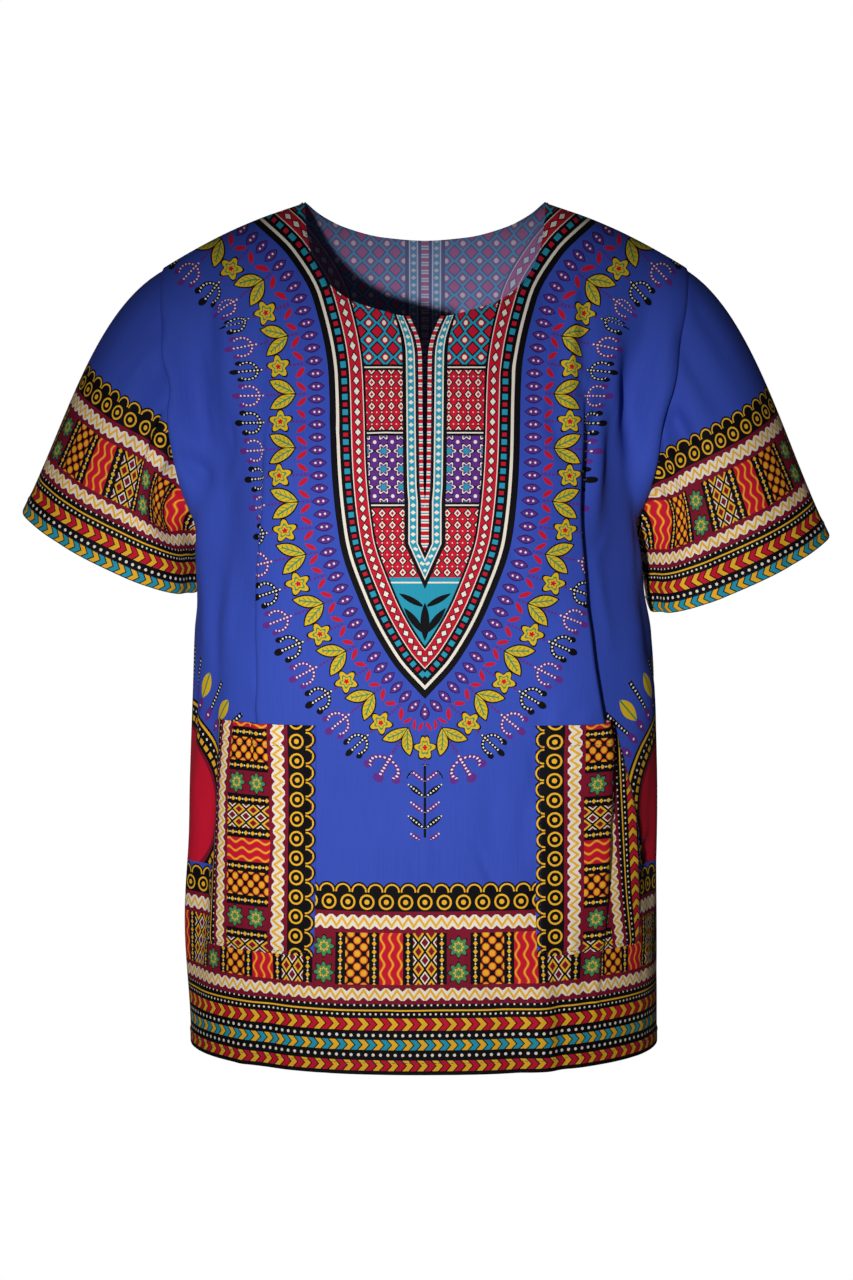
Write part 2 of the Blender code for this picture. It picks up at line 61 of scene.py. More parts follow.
POCKET_BOTTOM_DOWN = 1.0 + (UNDERARM_Z - POCKET_BOTTOM_Z) / (UNDERARM_Z - HEM_Z)
FRONT, BACK = -1.0, 1.0
LEFT, RIGHT = -1.0, 1.0
# How far each pocket's outer edge leans in at its top and out at its foot
POCKET_LEANS = {LEFT: (0.018, 0.012), RIGHT: (0.100, 0.000)}


# The neckline and the shoulder seam from the middle outwards: points that a panel's top edge passes through
Edge = namedtuple("Edge", "across x y z")
FRONT_NECKLINE = [
    Edge(0.00, 0.0000, -0.090, -0.1000),
    Edge(0.10, 0.0280, -0.089, -0.0965),
    Edge(0.20, 0.0560, -0.081, -0.0890),
    Edge(0.28, 0.0775, -0.066, -0.0755),
    Edge(0.34, 0.0920, -0.047, -0.0560),
    Edge(0.38, 0.1000, -0.028, -0.0350),
    Edge(0.41, 0.1035, -0.010, -0.0110),
    Edge(NECK_SHARE, 0.1045, 0.002, 0.0030),
]
BACK_NECKLINE = [
    Edge(0.00, 0.0000, 0.066, -0.0260),
    Edge(0.15, 0.0370, 0.062, -0.0235),
    Edge(0.28, 0.0700, 0.048, -0.0160),
    Edge(0.37, 0.0915, 0.027, -0.0065),
    Edge(NECK_SHARE, 0.1045, 0.002, 0.0030),
]
SHOULDER_SEAM = [
    Edge(NECK_SHARE, 0.1045, 0.002, 0.0030),
    Edge(0.60, 0.1430, 0.003, -0.0105),
    Edge(0.80, 0.1875, 0.002, -0.0310),
    Edge(1.00, 0.2300, 0.000, -0.0550),
    Edge(1.05, 0.2400, -0.001, -0.0620),
]

# Level rings of the body below the underarm: half widths to each side, and depths to the front and back
Ring = namedtuple("Ring", "z left right front back square")
RINGS = [
    Ring(-0.285, 0.1930, 0.1780, 0.137, 0.118, 2.15),
    Ring(-0.335, 0.1975, 0.1880, 0.139, 0.120, 2.15),
    Ring(-0.370, 0.2020, 0.1970, 0.139, 0.120, 2.20),
    Ring(-0.420, 0.2040, 0.2005, 0.140, 0.121, 2.20),
    Ring(-0.520, 0.2075, 0.2030, 0.141, 0.123, 2.20),
    Ring(-0.640, 0.2090, 0.2050, 0.143, 0.126, 2.20),
    Ring(-0.732, 0.2075, 0.2055, 0.145, 0.129, 2.20),
]

# How the cloth leaves the top edge and how fast it reaches underarm level, by its place across
Fall = namedtuple("Fall", "across aside forward drop reach")
FRONT_FALL = [
    Fall(0.00, 0.000, 0.085, 0.170, 0.190),
    Fall(0.20, 0.008, 0.090, 0.170, 0.200),
    Fall(0.30, 0.015, 0.100, 0.165, 0.220),
    Fall(0.38, 0.028, 0.140, 0.150, 0.240),
    Fall(NECK_SHARE, 0.085, 0.180, 0.120, 0.260),
    Fall(0.55, 0.045, 0.205, 0.070, 0.260),
    Fall(0.75, 0.012, 0.215, 0.030, 0.250),
    Fall(1.00, -0.010, 0.220, 0.060, 0.150),
]
BACK_FALL = [
    Fall(0.00, 0.000, 0.110, 0.120, 0.260),
    Fall(0.20, 0.010, 0.120, 0.105, 0.260),
    Fall(0.34, 0.030, 0.150, 0.070, 0.270),
    Fall(NECK_SHARE, 0.060, 0.180, 0.050, 0.280),
    Fall(0.70, 0.000, 0.190, 0.020, 0.260),
    Fall(1.00, -0.010, 0.200, 0.060, 0.150),
]
ARMHOLE_TURN_IN_LEFT = 0.150
ARMHOLE_TURN_IN_RIGHT = 0.120
ARMHOLE_TURN_BACK = 0.190

# Folds that follow a line down a panel: where the line lies across at each height, how far the cloth on the
# middle's side stands out, and how far it lies over the cloth beyond, as a multiple of that
Line = namedtuple("Line", "z across height overlap")
Fold = namedtuple("Fold", "face width trail tail line")
FOLD_HOME = 0.57
FOLD_WINDOW = 0.25
POCKET_WINDOW = 0.20
FOLDS = [
    # The long one on the right
    Fold(FRONT, 0.0055, 0.020, 0.060, [
        Line(-0.120, 0.620, 0.0000, 1.0), Line(-0.170, 0.600, 0.0020, 1.2), Line(-0.220, 0.566, 0.0055, 1.4),
        Line(-0.270, 0.537, 0.0080, 1.6), Line(-0.340, 0.530, 0.0090, 1.6), Line(-0.382, 0.541, 0.0090, 1.6),
        Line(-0.430, 0.567, 0.0090, 1.6), Line(-0.470, 0.595, 0.0085, 1.6), Line(-0.520, 0.599, 0.0080, 1.5),
        Line(-0.580, 0.594, 0.0070, 1.4), Line(-0.640, 0.592, 0.0045, 1.2), Line(-0.700, 0.590, 0.0015, 1.0),
        Line(-0.732, 0.590, 0.0000, 1.0),
    ]),
    # The shallower one on the left
    Fold(FRONT, 0.0050, 0.016, 0.050, [
        Line(-0.180, -0.570, 0.0000, 1.0), Line(-0.240, -0.570, 0.0035, 1.3), Line(-0.320, -0.575, 0.0048, 1.5),
        Line(-0.400, -0.565, 0.0045, 1.5), Line(-0.450, -0.570, 0.0025, 1.3), Line(-0.500, -0.570, 0.0000, 1.0),
    ]),
]
# Cloth that the fold with the most overlap hides, as the print shows it, and that overlap
TUCK = 0.024
MOST_COVER = 0.0144

# Soft troughs and ridges: a straight run from one end to the other, with the height at its middle
Soft = namedtuple("Soft", "face across_top across_bottom z_top z_bottom width height")
SOFT_FOLDS = [
    Soft(FRONT, 0.800, 0.830, -0.200, -0.720, 0.0260, 0.0070),
    Soft(FRONT, -0.745, -0.840, -0.340, -0.720, 0.0150, -0.0100),
    Soft(FRONT, -0.800, -0.730, -0.130, -0.360, 0.0220, -0.0060),
    Soft(FRONT, -0.870, -0.870, -0.190, -0.375, 0.0240, 0.0100),
    Soft(FRONT, 0.870, 0.870, -0.190, -0.385, 0.0240, 0.0090),
    Soft(FRONT, -0.480, -0.530, -0.140, -0.420, 0.0260, 0.0030),
    Soft(FRONT, -0.300, -0.340, -0.560, -0.760, 0.0300, 0.0030),
    Soft(FRONT, 0.430, 0.470, -0.620, -0.780, 0.0160, 0.0060),
    Soft(FRONT, 0.800, 0.740, -0.100, -0.290, 0.0220, -0.0060),
    Soft(FRONT, 0.830, 0.890, -0.400, -0.720, 0.0180, -0.0070),
    Soft(FRONT, 0.100, 0.060, -0.560, -0.760, 0.0300, -0.0025),
    Soft(BACK, -0.620, -0.560, -0.200, -0.700, 0.0220, -0.0110),
    Soft(BACK, 0.600, 0.640, -0.180, -0.720, 0.0220, -0.0110),
    Soft(BACK, -0.280, -0.330, -0.330, -0.800, 0.0240, 0.0080),
    Soft(BACK, 0.240, 0.350, -0.300, -0.800, 0.0260, 0.0080),
    Soft(BACK, 0.020, -0.020, -0.100, -0.460, 0.0280, -0.0050),
    Soft(BACK, 0.020, 0.040, -0.480, -0.800, 0.0240, -0.0070),
    Soft(BACK, -0.840, -0.760, -0.140, -0.330, 0.0160, -0.0080),
    Soft(BACK, 0.840, 0.770, -0.150, -0.320, 0.0160, -0.0080),
]

# Creases that run straight between two places, with the height at their middle
Crease = namedtuple("Crease", "face across_a z_a across_b z_b width height")
CREASES = [
    Crease(FRONT, -0.990, -0.212, -0.800, -0.246, 0.0075, -0.0060),
    Crease(FRONT, -0.985, -0.188, -0.790, -0.226, 0.0090, 0.0030),
    Crease(FRONT, -0.940, -0.090, -0.850, -0.215, 0.0150, -0.0045),
    Crease(FRONT, -0.700, -0.050, -0.760, -0.210, 0.0110, 0.0028),
    Crease(FRONT, -0.800, -0.040, -0.810, -0.160, 0.0080, -0.0022),
    Crease(FRONT, -0.560, -0.070, -0.620, -0.230, 0.0130, -0.0026),
    Crease(FRONT, -0.770, -0.300, -0.745, -0.440, 0.0060, -0.0022),
    Crease(FRONT, -0.840, -0.290, -0.800, -0.410, 0.0075, 0.0024),
    Crease(FRONT, -0.720, -0.280, -0.690, -0.400, 0.0070, 0.0018),
    Crease(FRONT, -0.930, -0.330, -0.900, -0.520, 0.0110, -0.0050),
    Crease(FRONT, -0.900, -0.520, -0.940, -0.720, 0.0120, 0.0040),
    Crease(FRONT, -0.450, -0.420, -0.420, -0.560, 0.0090, -0.0014),
    Crease(FRONT, -0.180, -0.470, -0.210, -0.640, 0.0120, 0.0016),
    Crease(FRONT, 0.000, -0.440, 0.015, -0.640, 0.0040, 0.0009),
    Crease(FRONT, 0.230, -0.440, 0.260, -0.620, 0.0110, -0.0016),
    Crease(FRONT, 0.455, -0.610, 0.485, -0.790, 0.0100, -0.0062),
    Crease(FRONT, 0.370, -0.600, 0.410, -0.780, 0.0160, 0.0036),
    Crease(FRONT, -0.520, -0.620, -0.560, -0.770, 0.0130, -0.0032),
    Crease(FRONT, 0.780, -0.110, 0.925, -0.240, 0.0100, -0.0078),
    Crease(FRONT, 0.700, -0.090, 0.840, -0.250, 0.0120, 0.0050),
    Crease(FRONT, 0.930, -0.080, 0.960, -0.200, 0.0090, 0.0030),
    Crease(FRONT, 0.560, -0.060, 0.620, -0.230, 0.0130, -0.0050),
    Crease(FRONT, 0.500, -0.050, 0.520, -0.160, 0.0100, 0.0040),
    Crease(FRONT, 0.450, -0.080, 0.500, -0.260, 0.0100, -0.0022),
    Crease(FRONT, 0.690, -0.150, 0.570, -0.290, 0.0080, -0.0062),
    Crease(FRONT, 0.750, -0.160, 0.640, -0.300, 0.0090, 0.0040),
    Crease(FRONT, 0.640, -0.270, 0.660, -0.400, 0.0060, 0.0016),
    Crease(FRONT, 0.860, -0.300, 0.820, -0.430, 0.0100, -0.0040),
    Crease(FRONT, 0.780, -0.430, 0.800, -0.640, 0.0100, -0.0036),
    Crease(FRONT, 0.900, -0.420, 0.880, -0.700, 0.0110, 0.0042),
    Crease(FRONT, 0.530, -0.560, 0.560, -0.740, 0.0100, -0.0030),
    Crease(BACK, -0.300, -0.060, -0.420, -0.260, 0.0140, -0.0036),
    Crease(BACK, 0.320, -0.060, 0.460, -0.280, 0.0140, -0.0040),
    Crease(BACK, -0.900, -0.130, -0.740, -0.240, 0.0090, -0.0056),
    Crease(BACK, -0.940, -0.200, -0.780, -0.270, 0.0085, 0.0040),
    Crease(BACK, 0.910, -0.140, 0.750, -0.250, 0.0090, -0.0060),
    Crease(BACK, 0.950, -0.210, 0.790, -0.280, 0.0085, 0.0038),
    Crease(BACK, 0.100, -0.260, 0.070, -0.460, 0.0130, 0.0030),
    Crease(BACK, -0.160, -0.300, -0.120, -0.520, 0.0110, -0.0028),
    Crease(BACK, -0.480, -0.420, -0.440, -0.660, 0.0100, -0.0034),
    Crease(BACK, 0.460, -0.380, 0.500, -0.640, 0.0110, -0.0036),
    Crease(BACK, -0.740, -0.360, -0.780, -0.620, 0.0100, 0.0036),
    Crease(BACK, 0.780, -0.340, 0.740, -0.600, 0.0100, 0.0036),
    Crease(BACK, -0.060, -0.560, -0.110, -0.760, 0.0120, -0.0036),
    Crease(BACK, 0.180, -0.540, 0.220, -0.760, 0.0120, -0.0034),
]
# Small shallow creases all over, in numbers only
SMALL_CREASES = 240
SMALL_SEED = 7

# The centre slit below the neckline: half its gap at each place down, spread over the cloth beside it
Gap = namedtuple("Gap", "down half")
SLIT_GAPS = [
    Gap(0.00, 0.0130), Gap(0.06, 0.0082), Gap(0.12, 0.0044), Gap(0.19, 0.0026), Gap(0.50, 0.0019),
    Gap(0.76, 0.0012), Gap(SLIT_DOWN, 0.0),
]
SLIT_SPREAD = 0.045
SEAM_DEPTH = 0.0026
SEAM_HALF = 0.0024
# Dents where the cloth is drawn in at an armhole seam
Pucker = namedtuple("Pucker", "face side z half depth")
PUCKERS = [
    Pucker(FRONT, LEFT, -0.158, 0.016, 0.0105), Pucker(FRONT, LEFT, -0.105, 0.014, 0.0030),
    Pucker(FRONT, RIGHT, -0.120, 0.020, 0.0045), Pucker(FRONT, RIGHT, -0.190, 0.024, 0.0075),
    Pucker(BACK, LEFT, -0.150, 0.020, 0.0055), Pucker(BACK, RIGHT, -0.140, 0.018, 0.0060),
]
PUCKER_REACH = 0.012

# Sleeves: the centre and half axes of each open cuff, and how far the top of the tube bulges and lifts
Cuff = namedtuple("Cuff", "side centre outward forward bulge lift")
CUFFS = [
    Cuff(LEFT, (-0.2762, 0.008, -0.2990), (-0.0759, 0.0, 0.0360), (0.0, -0.060, -0.0140), 0.010, 0.022),
    Cuff(RIGHT, (0.2762, 0.008, -0.3182), (0.0780, 0.0, 0.0340), (0.0, -0.060, -0.0120), 0.004, 0.014),
]
Leave = namedtuple("Leave", "turn out forward drop reach")
SLEEVE_FALL = [
    Leave(0.00, 0.170, 0.000, 0.125, 0.250),
    Leave(0.25, 0.090, 0.030, 0.090, 0.170),
    Leave(0.50, 0.055, 0.000, 0.030, 0.060),
    Leave(0.75, 0.090, -0.030, 0.090, 0.170),
    Leave(1.00, 0.170, 0.000, 0.125, 0.250),
]
ARM_OUT, ARM_DROP = 0.45, 0.89
# Soft waves of a sleeve: where round it and how wide, at armhole and cuff, and the height at its middle
Wave = namedtuple("Wave", "turn_top turn_cuff along_top along_cuff width height")
SLEEVE_WAVES = [
    Wave(0.20, 0.13, 0.25, 1.10, 0.050, 0.0050),
    Wave(0.27, 0.24, 0.30, 1.15, 0.045, -0.0055),
    Wave(0.36, 0.33, 0.10, 0.75, 0.050, -0.0080),
    Wave(0.33, 0.36, 0.55, 1.20, 0.050, 0.0040),
    Wave(0.64, 0.66, 0.05, 0.75, 0.050, -0.0070),
    Wave(0.76, 0.80, 0.30, 1.20, 0.055, 0.0050),
    Wave(0.86, 0.90, 0.30, 1.10, 0.045, -0.0045),
    Wave(0.29, 0.27, -0.30, 0.50, 0.017, -0.0085),
    Wave(0.335, 0.31, -0.25, 0.55, 0.017, 0.0060),
    Wave(0.41, 0.38, -0.20, 0.60, 0.018, -0.0070),
    Wave(0.20, 0.19, -0.25, 0.42, 0.020, -0.0020),
    Wave(0.10, 0.12, -0.20, 0.50, 0.024, -0.0018),
    Wave(0.585, 0.60, -0.20, 0.55, 0.018, -0.0045),
    Wave(0.665, 0.69, -0.25, 0.50, 0.017, 0.0036),
    Wave(0.72, 0.735, -0.30, 0.45, 0.017, -0.0040),
    Wave(0.88, 0.87, -0.20, 0.50, 0.024, -0.0018),
    Wave(0.07, 0.05, 0.45, 1.50, 0.030, 0.0024),
    Wave(0.155, 0.165, 0.50, 1.50, 0.022, -0.0030),
    Wave(0.30, 0.30, 0.55, 1.50, 0.022, 0.0030),
    Wave(0.43, 0.44, 0.45, 1.50, 0.024, -0.0030),
    Wave(0.56, 0.55, 0.50, 1.50, 0.024, 0.0028),
    Wave(0.71, 0.70, 0.50, 1.50, 0.024, -0.0030),
    Wave(0.86, 0.85, 0.50, 1.50, 0.026, 0.0026),
]

STEP = 1e-4
BROAD = 0.04


def soft_step(x):
    """Rises smoothly from 0 at x = 0 to 1 at x = 1."""
    x = np.clip(x, 0.0, 1.0)
    return x * x * (3.0 - 2.0 * x)


def between(rows, key, value, at, level=False):
    """The named value of a table at each place of its key column, on a smooth curve through the rows.

    level makes the curve start level, for values that are the same on both sides of the middle.
    """
    x = np.array([getattr(row, key) for row in rows])
    y = np.array([getattr(row, value) for row in rows])
    if x[0] > x[-1]:
        x, y = x[::-1], y[::-1]
    rise = np.diff(y) / np.diff(x)
    turns = rise[:-1] * rise[1:] <= 0.0
    middle = np.where(turns, 0.0, 2.0 * rise[:-1] * rise[1:] / np.where(turns, 1.0, rise[:-1] + rise[1:]))
    slope = np.concatenate([[rise[0]], middle, [rise[-1]]])
    if level:
        slope[0] = 0.0
    at = np.clip(at, x[0], x[-1])
    i = np.clip(np.searchsorted(x, at, side="right") - 1, 0, len(x) - 2)
    length = x[i + 1] - x[i]
    t = (at - x[i]) / length
    return (
        y[i] * (1 + 2 * t) * (1 - t) ** 2
        + slope[i] * length * t * (1 - t) ** 2
        + y[i + 1] * t * t * (3 - 2 * t)
        + slope[i + 1] * length * t * t * (t - 1)
    )


def unit(vectors):
    return vectors / np.linalg.norm(vectors, axis=-1, keepdims=True)


def hermite(start, leave, end, reach, t):
    """A cubic from start to end that leaves and arrives with the given directions."""
    t = t[..., None]
    return (
        start * (1 + 2 * t) * (1 - t) ** 2
        + leave * t * (1 - t) ** 2
        + end * t * t * (3 - 2 * t)
        + reach * t * t * (t - 1)
    )


def ring(across, z, face):
    """A point of the level ring at height z."""
    angle = across * math.pi / 2.0
    side = np.where(across < 0.0, between(RINGS, "z", "left", z), between(RINGS, "z", "right", z))
    depth = between(RINGS, "z", "front" if face == FRONT else "back", z)
    square = between(RINGS, "z", "square", z)
    reach = (np.abs(np.cos(angle)) / depth) ** square + (np.abs(np.sin(angle)) / side) ** square
    reach = reach ** (-1.0 / square)
    return np.stack([reach * np.sin(angle), face * reach * np.cos(angle), z + 0.0 * angle], axis=-1)


def top_edge(across, face):
    """A point of the neckline or of the shoulder seam."""
    away = np.abs(across)
    neckline = FRONT_NECKLINE if face == FRONT else BACK_NECKLINE
    point = [
        np.where(
            away < NECK_SHARE,
            between(neckline, "across", axis, away, level=axis != "x"),
            between(SHOULDER_SEAM, "across", axis, away),
        )
        for axis in "xyz"
    ]
    return np.stack([point[0] * np.sign(across), point[1], point[2]], axis=-1)


def smooth_form(across, down, face):
    """The panel's form without its folds."""
    upper = np.clip(down, 0.0, 1.0)
    z = UNDERARM_Z + (HEM_Z - UNDERARM_Z) * np.clip(down - 1.0, 0.0, 1.0)
    low = ring(across, z, face)
    away = np.abs(across)
    table = FRONT_FALL if face == FRONT else BACK_FALL
    forward = between(table, "across", "forward", away, level=True)
    drop = between(table, "across", "drop", away, level=True)
    reach = between(table, "across", "reach", away, level=True)
    aside = between(table, "across", "aside", away) * np.sign(across)
    leave = np.stack([aside, face * forward, -drop], axis=-1)
    underarm = UNDERARM_Z + 0.0 * away
    hang = unit(ring(across, underarm - STEP, face) - ring(across, underarm, face))
    turn = soft_step((away - 0.84) / 0.16)[..., None]
    turn_in = np.where(across < 0.0, ARMHOLE_TURN_IN_LEFT, -ARMHOLE_TURN_IN_RIGHT)
    inward = unit(np.stack([turn_in, -face * ARMHOLE_TURN_BACK + 0.0 * away, -reach], axis=-1))
    arrive = unit(hang * (1.0 - turn) + inward * turn) * (reach + 0.07 * turn[..., 0])[..., None]
    high = hermite(top_edge(across, face), leave, ring(across, underarm, face), arrive, upper)
    return np.where((down < 1.0)[..., None], high, low)


def follow_folds(across, down, z, face):
    """Bends the grid lines so that they run along the long folds and the pockets' leaning outer edges."""
    shift = np.zeros_like(across)
    for fold in FOLDS:
        if fold.face != face:
            continue
        home = FOLD_HOME * np.sign(fold.line[0].across)
        lean = between(fold.line, "z", "across", z) - home
        shift += lean * soft_step(1.0 - np.abs(across - home) / FOLD_WINDOW)
    if face == FRONT:
        middle = (POCKET_TOP_Z + POCKET_BOTTOM_Z) / 2.0
        lower = np.clip((middle - z) / (middle - POCKET_BOTTOM_Z), -1.0, 1.0)
        left, right = (np.where(lower < 0.0, *POCKET_LEANS[side]) for side in (LEFT, RIGHT))
        lean = np.where(across < 0.0, left, right) * lower
        lean = lean * soft_step((z - HEM_Z) / 0.09) * soft_step((-0.300 - z) / 0.13)
        shift += np.sign(across) * lean * soft_step(1.0 - np.abs(np.abs(across) - POCKET_OUTER) / POCKET_WINDOW)
    return across + shift * soft_step(down / 0.3)


def fold_inside(fold, across, z):
    """Distance from a fold's line towards the middle of the panel, negative beyond the line."""
    return (between(fold.line, "z", "across", z) - across) * np.sign(fold.line[0].across) * QUARTER_GIRTH


def fold_cover(fold, z):
    """How far the lip of a fold lies over the cloth beyond it."""
    return between(fold.line, "z", "overlap", z) * between(fold.line, "z", "height", z)


def fold_shift(across, z, face):
    """How far the folds move the cloth: outwards, and along the panel towards its side."""
    out = np.zeros_like(across)
    along = np.zeros_like(across)
    for fold in FOLDS:
        if fold.face != face:
            continue
        side = np.sign(fold.line[0].across)
        inside = fold_inside(fold, across, z)
        height = between(fold.line, "z", "height", z)
        step = soft_step(inside / fold.width * 0.5 + 0.5)
        out += height * step * np.exp(-((np.maximum(inside, 0.0) / fold.tail) ** 2))
        lip = inside - 0.45 * fold.width
        spread = np.where(lip < 0.0, 1.25 * fold.width, fold.trail)
        along += side * fold_cover(fold, z) * np.exp(-((lip / spread) ** 2))
    for fold in SOFT_FOLDS:
        if fold.face != face:
            continue
        t = (z - fold.z_top) / (fold.z_bottom - fold.z_top)
        home = fold.across_top + (fold.across_bottom - fold.across_top) * t
        along_run = np.where((t > 0.0) & (t < 1.0), np.sin(np.pi * np.clip(t, 0.0, 1.0)) ** 2, 0.0)
        past = (across - home) * QUARTER_GIRTH / fold.width
        out += fold.height * along_run * np.exp(-(past**2))
    for crease in CREASES + SMALL:
        if crease.face == face:
            out += crease_height(crease, across, z)
    edge = soft_step((1.0 - np.abs(across)) / 0.07)
    wide_edge = soft_step((1.0 - np.abs(across)) / 0.14)
    return out * edge, along * wide_edge


def tucked(across, z, face):
    """How far the folds shift the print: with the cloth up to each lip, and by the hidden cloth beyond it."""
    shift = np.zeros_like(across)
    for fold in FOLDS:
        if fold.face == face:
            side = np.sign(fold.line[0].across)
            inside = fold_inside(fold, across, z)
            cover = fold_cover(fold, z)
            lip = np.maximum(inside - 0.45 * fold.width, 0.0)
            moved = cover * np.exp(-((lip / fold.trail) ** 2))
            beyond = soft_step(-(inside + 0.001) / 0.009)
            shift += side * (moved + (TUCK * cover / MOST_COVER - moved) * beyond)
    return shift


def crease_height(crease, across, z):
    """How far one straight crease moves the cloth out."""
    run_u = (crease.across_b - crease.across_a) * QUARTER_GIRTH
    run_z = crease.z_b - crease.z_a
    length = math.hypot(run_u, run_z)
    from_u, from_z = (across - crease.across_a) * QUARTER_GIRTH, z - crease.z_a
    t = (from_u * run_u + from_z * run_z) / length**2
    aside = (from_u * run_z - from_z * run_u) / length
    ends = np.where((t > 0.0) & (t < 1.0), np.sin(np.pi * np.clip(t, 0.0, 1.0)) ** 2, 0.0)
    return crease.height * ends * np.exp(-((aside / crease.width) ** 2))


def small_creases():
    """Short shallow creases, mostly upright, spread unevenly over the front and back."""
    draw = np.random.default_rng(SMALL_SEED)
    found = []
    for number in range(SMALL_CREASES):
        across, z = draw.uniform(-0.95, 0.95), draw.uniform(-0.72, -0.06)
        lean, length = draw.normal(0.0, 0.45), draw.uniform(0.030, 0.110)
        found.append(Crease(
            FRONT if number % 2 else BACK, across, z, across + length * math.sin(lean) / QUARTER_GIRTH,
            z - length * math.cos(lean), draw.uniform(0.0032, 0.0085), draw.uniform(-0.0024, 0.0021),
        ))
    return found


SMALL = small_creases()


def panel(column, down, face, half=0.0):
    """A point of the outer surface of the front or back. half is the side of the slit that it belongs to."""
    first = smooth_form(column, down, face)
    across = follow_folds(column, down, first[..., 2], face)
    base = smooth_form(across, down, face)
    z = base[..., 2]
    tangent = unit(smooth_form(across + BROAD, down, face) - smooth_form(across - BROAD, down, face))
    ahead = smooth_form(across, np.minimum(down + BROAD, 2.0), face)
    behind = smooth_form(across, np.maximum(down - BROAD, 0.0), face)
    normal = unit(np.cross(tangent, ahead - behind)) * face
    fade = soft_step(down / 0.25)
    out, along = fold_shift(across, z, face)
    sewn = np.exp(-(((1.0 - np.abs(column)) * QUARTER_GIRTH / SEAM_HALF) ** 2))
    shoulder = np.exp(-((down * 0.25 / SEAM_HALF) ** 2)) * (np.abs(across) > NECK_SHARE + 0.01)
    groove = SEAM_DEPTH * np.maximum(sewn, shoulder)
    for pucker in PUCKERS:
        if pucker.face == face:
            aside = (1.0 - column * pucker.side) * QUARTER_GIRTH / PUCKER_REACH
            groove = groove + pucker.depth * np.exp(-(aside**2) - ((z - pucker.z) / pucker.half) ** 2)
    point = base + normal * (out * fade - groove)[..., None] + tangent * (along * fade)[..., None]
    if face == FRONT:
        gap = between(SLIT_GAPS, "down", "half", np.clip(down, 0.0, SLIT_DOWN))
        point[..., 0] += half * gap * soft_step(1.0 - np.abs(base[..., 0]) / SLIT_SPREAD)
    return point


def armhole(turn, side):
    """A point of the armhole edge: 0 and 1 at the shoulder, 0.5 at the underarm, the front half first."""
    front = panel(side + 0.0 * turn, np.clip(2.0 * turn, 0.0, 1.0), FRONT)
    back = panel(side + 0.0 * turn, np.clip(2.0 - 2.0 * turn, 0.0, 1.0), BACK)
    return np.where((turn <= 0.5)[..., None], front, back)


def sleeve(turn, along, cuff):
    """A point of the sleeve's outer surface, from the armhole at along = 0 to the cuff at 1."""
    side = cuff.side
    turn = turn % 1.0
    centre, outward, forward = (np.array(v) for v in (cuff.centre, cuff.outward, cuff.forward))
    angle = 2.0 * math.pi * turn[..., None]
    cuff_point = centre + np.cos(angle) * outward + np.sin(angle) * forward
    out, ahead, drop, reach = (
        between(SLEEVE_FALL, "turn", column, turn) for column in ("out", "forward", "drop", "reach")
    )
    top = np.maximum(np.cos(2.0 * math.pi * turn), 0.0) ** 2
    leave = np.stack([side * (out + cuff.bulge * top), -ahead, cuff.lift * top - drop], axis=-1)
    arrive = np.array([side * ARM_OUT, 0.0, -ARM_DROP]) * reach[..., None]
    return hermite(armhole(turn, side), leave, cuff_point, arrive, along)


def waved_sleeve(turn, along, cuff):
    """The sleeve with its soft waves."""
    base = sleeve(turn, along, cuff)
    nearer, further = np.maximum(along - STEP, 0.0), np.minimum(along + STEP, 1.0)
    ahead = sleeve(turn, further, cuff) - sleeve(turn, nearer, cuff)
    round_it = sleeve(turn + STEP, along, cuff) - sleeve(turn - STEP, along, cuff)
    normal = unit(np.cross(round_it, ahead)) * cuff.side
    out = np.zeros_like(turn)
    for wave in SLEEVE_WAVES:
        t = (along - wave.along_top) / (wave.along_cuff - wave.along_top)
        home = wave.turn_top + (wave.turn_cuff - wave.turn_top) * t
        run = np.where((t > 0.0) & (t < 1.0), np.sin(np.pi * np.clip(t, 0.0, 1.0)) ** 2, 0.0)
        out += wave.height * run * np.exp(-(((turn - home) / wave.width) ** 2))
    return base + normal * (out * soft_step(along / 0.10))[..., None]


# Where the print lies

# The neck panel of the print: half its width at each height, seen from the front
Outline = namedtuple("Outline", "z half")
NECK_OUTLINE = [
    Outline(-0.4330, 0.0000), Outline(-0.4000, 0.0290), Outline(-0.3500, 0.0560), Outline(-0.2900, 0.0755),
    Outline(-0.2200, 0.0820), Outline(-0.1500, 0.0840), Outline(-0.0820, 0.0975), Outline(-0.0450, 0.1185),
    Outline(-0.0160, 0.1480), Outline(0.0400, 0.2080),
]
PLAIN, NECK, SPRAY, BORDER, SIDE = range(5)
ZONES = 5
VIEW_Y, VIEW_Z = 2.3, -0.17
NECK_REACH = 0.0200
SPRAY_REACH = 0.0900
TIP_REACH = 0.1300
TIP_HALF = 0.030
BORDER_TOP = 0.165
SLEEVE_BORDER_LOW = 0.020
POCKET_BORDER_TOP = 0.162
MEDALLION_Z = -0.520
MEDALLION_HALF = 0.150


def offset_outline(offset):
    """Points of a line round the neck panel at a distance, from below its tip upwards, on the right."""
    z = np.linspace(NECK_OUTLINE[0].z, NECK_OUTLINE[-1].z, 260)
    points = np.stack([between(NECK_OUTLINE, "z", "half", z), z], axis=-1)
    along = unit(np.gradient(points, axis=0))
    outward = np.stack([along[:, 1], -along[:, 0]], axis=-1)
    first = math.atan2(outward[0, 1], outward[0, 0])
    angle = np.linspace(-math.pi / 2.0, first, 40)[:-1]
    corner = points[0] + offset * np.stack([np.cos(angle), np.sin(angle)], axis=-1)
    return np.concatenate([corner, points + offset * outward])


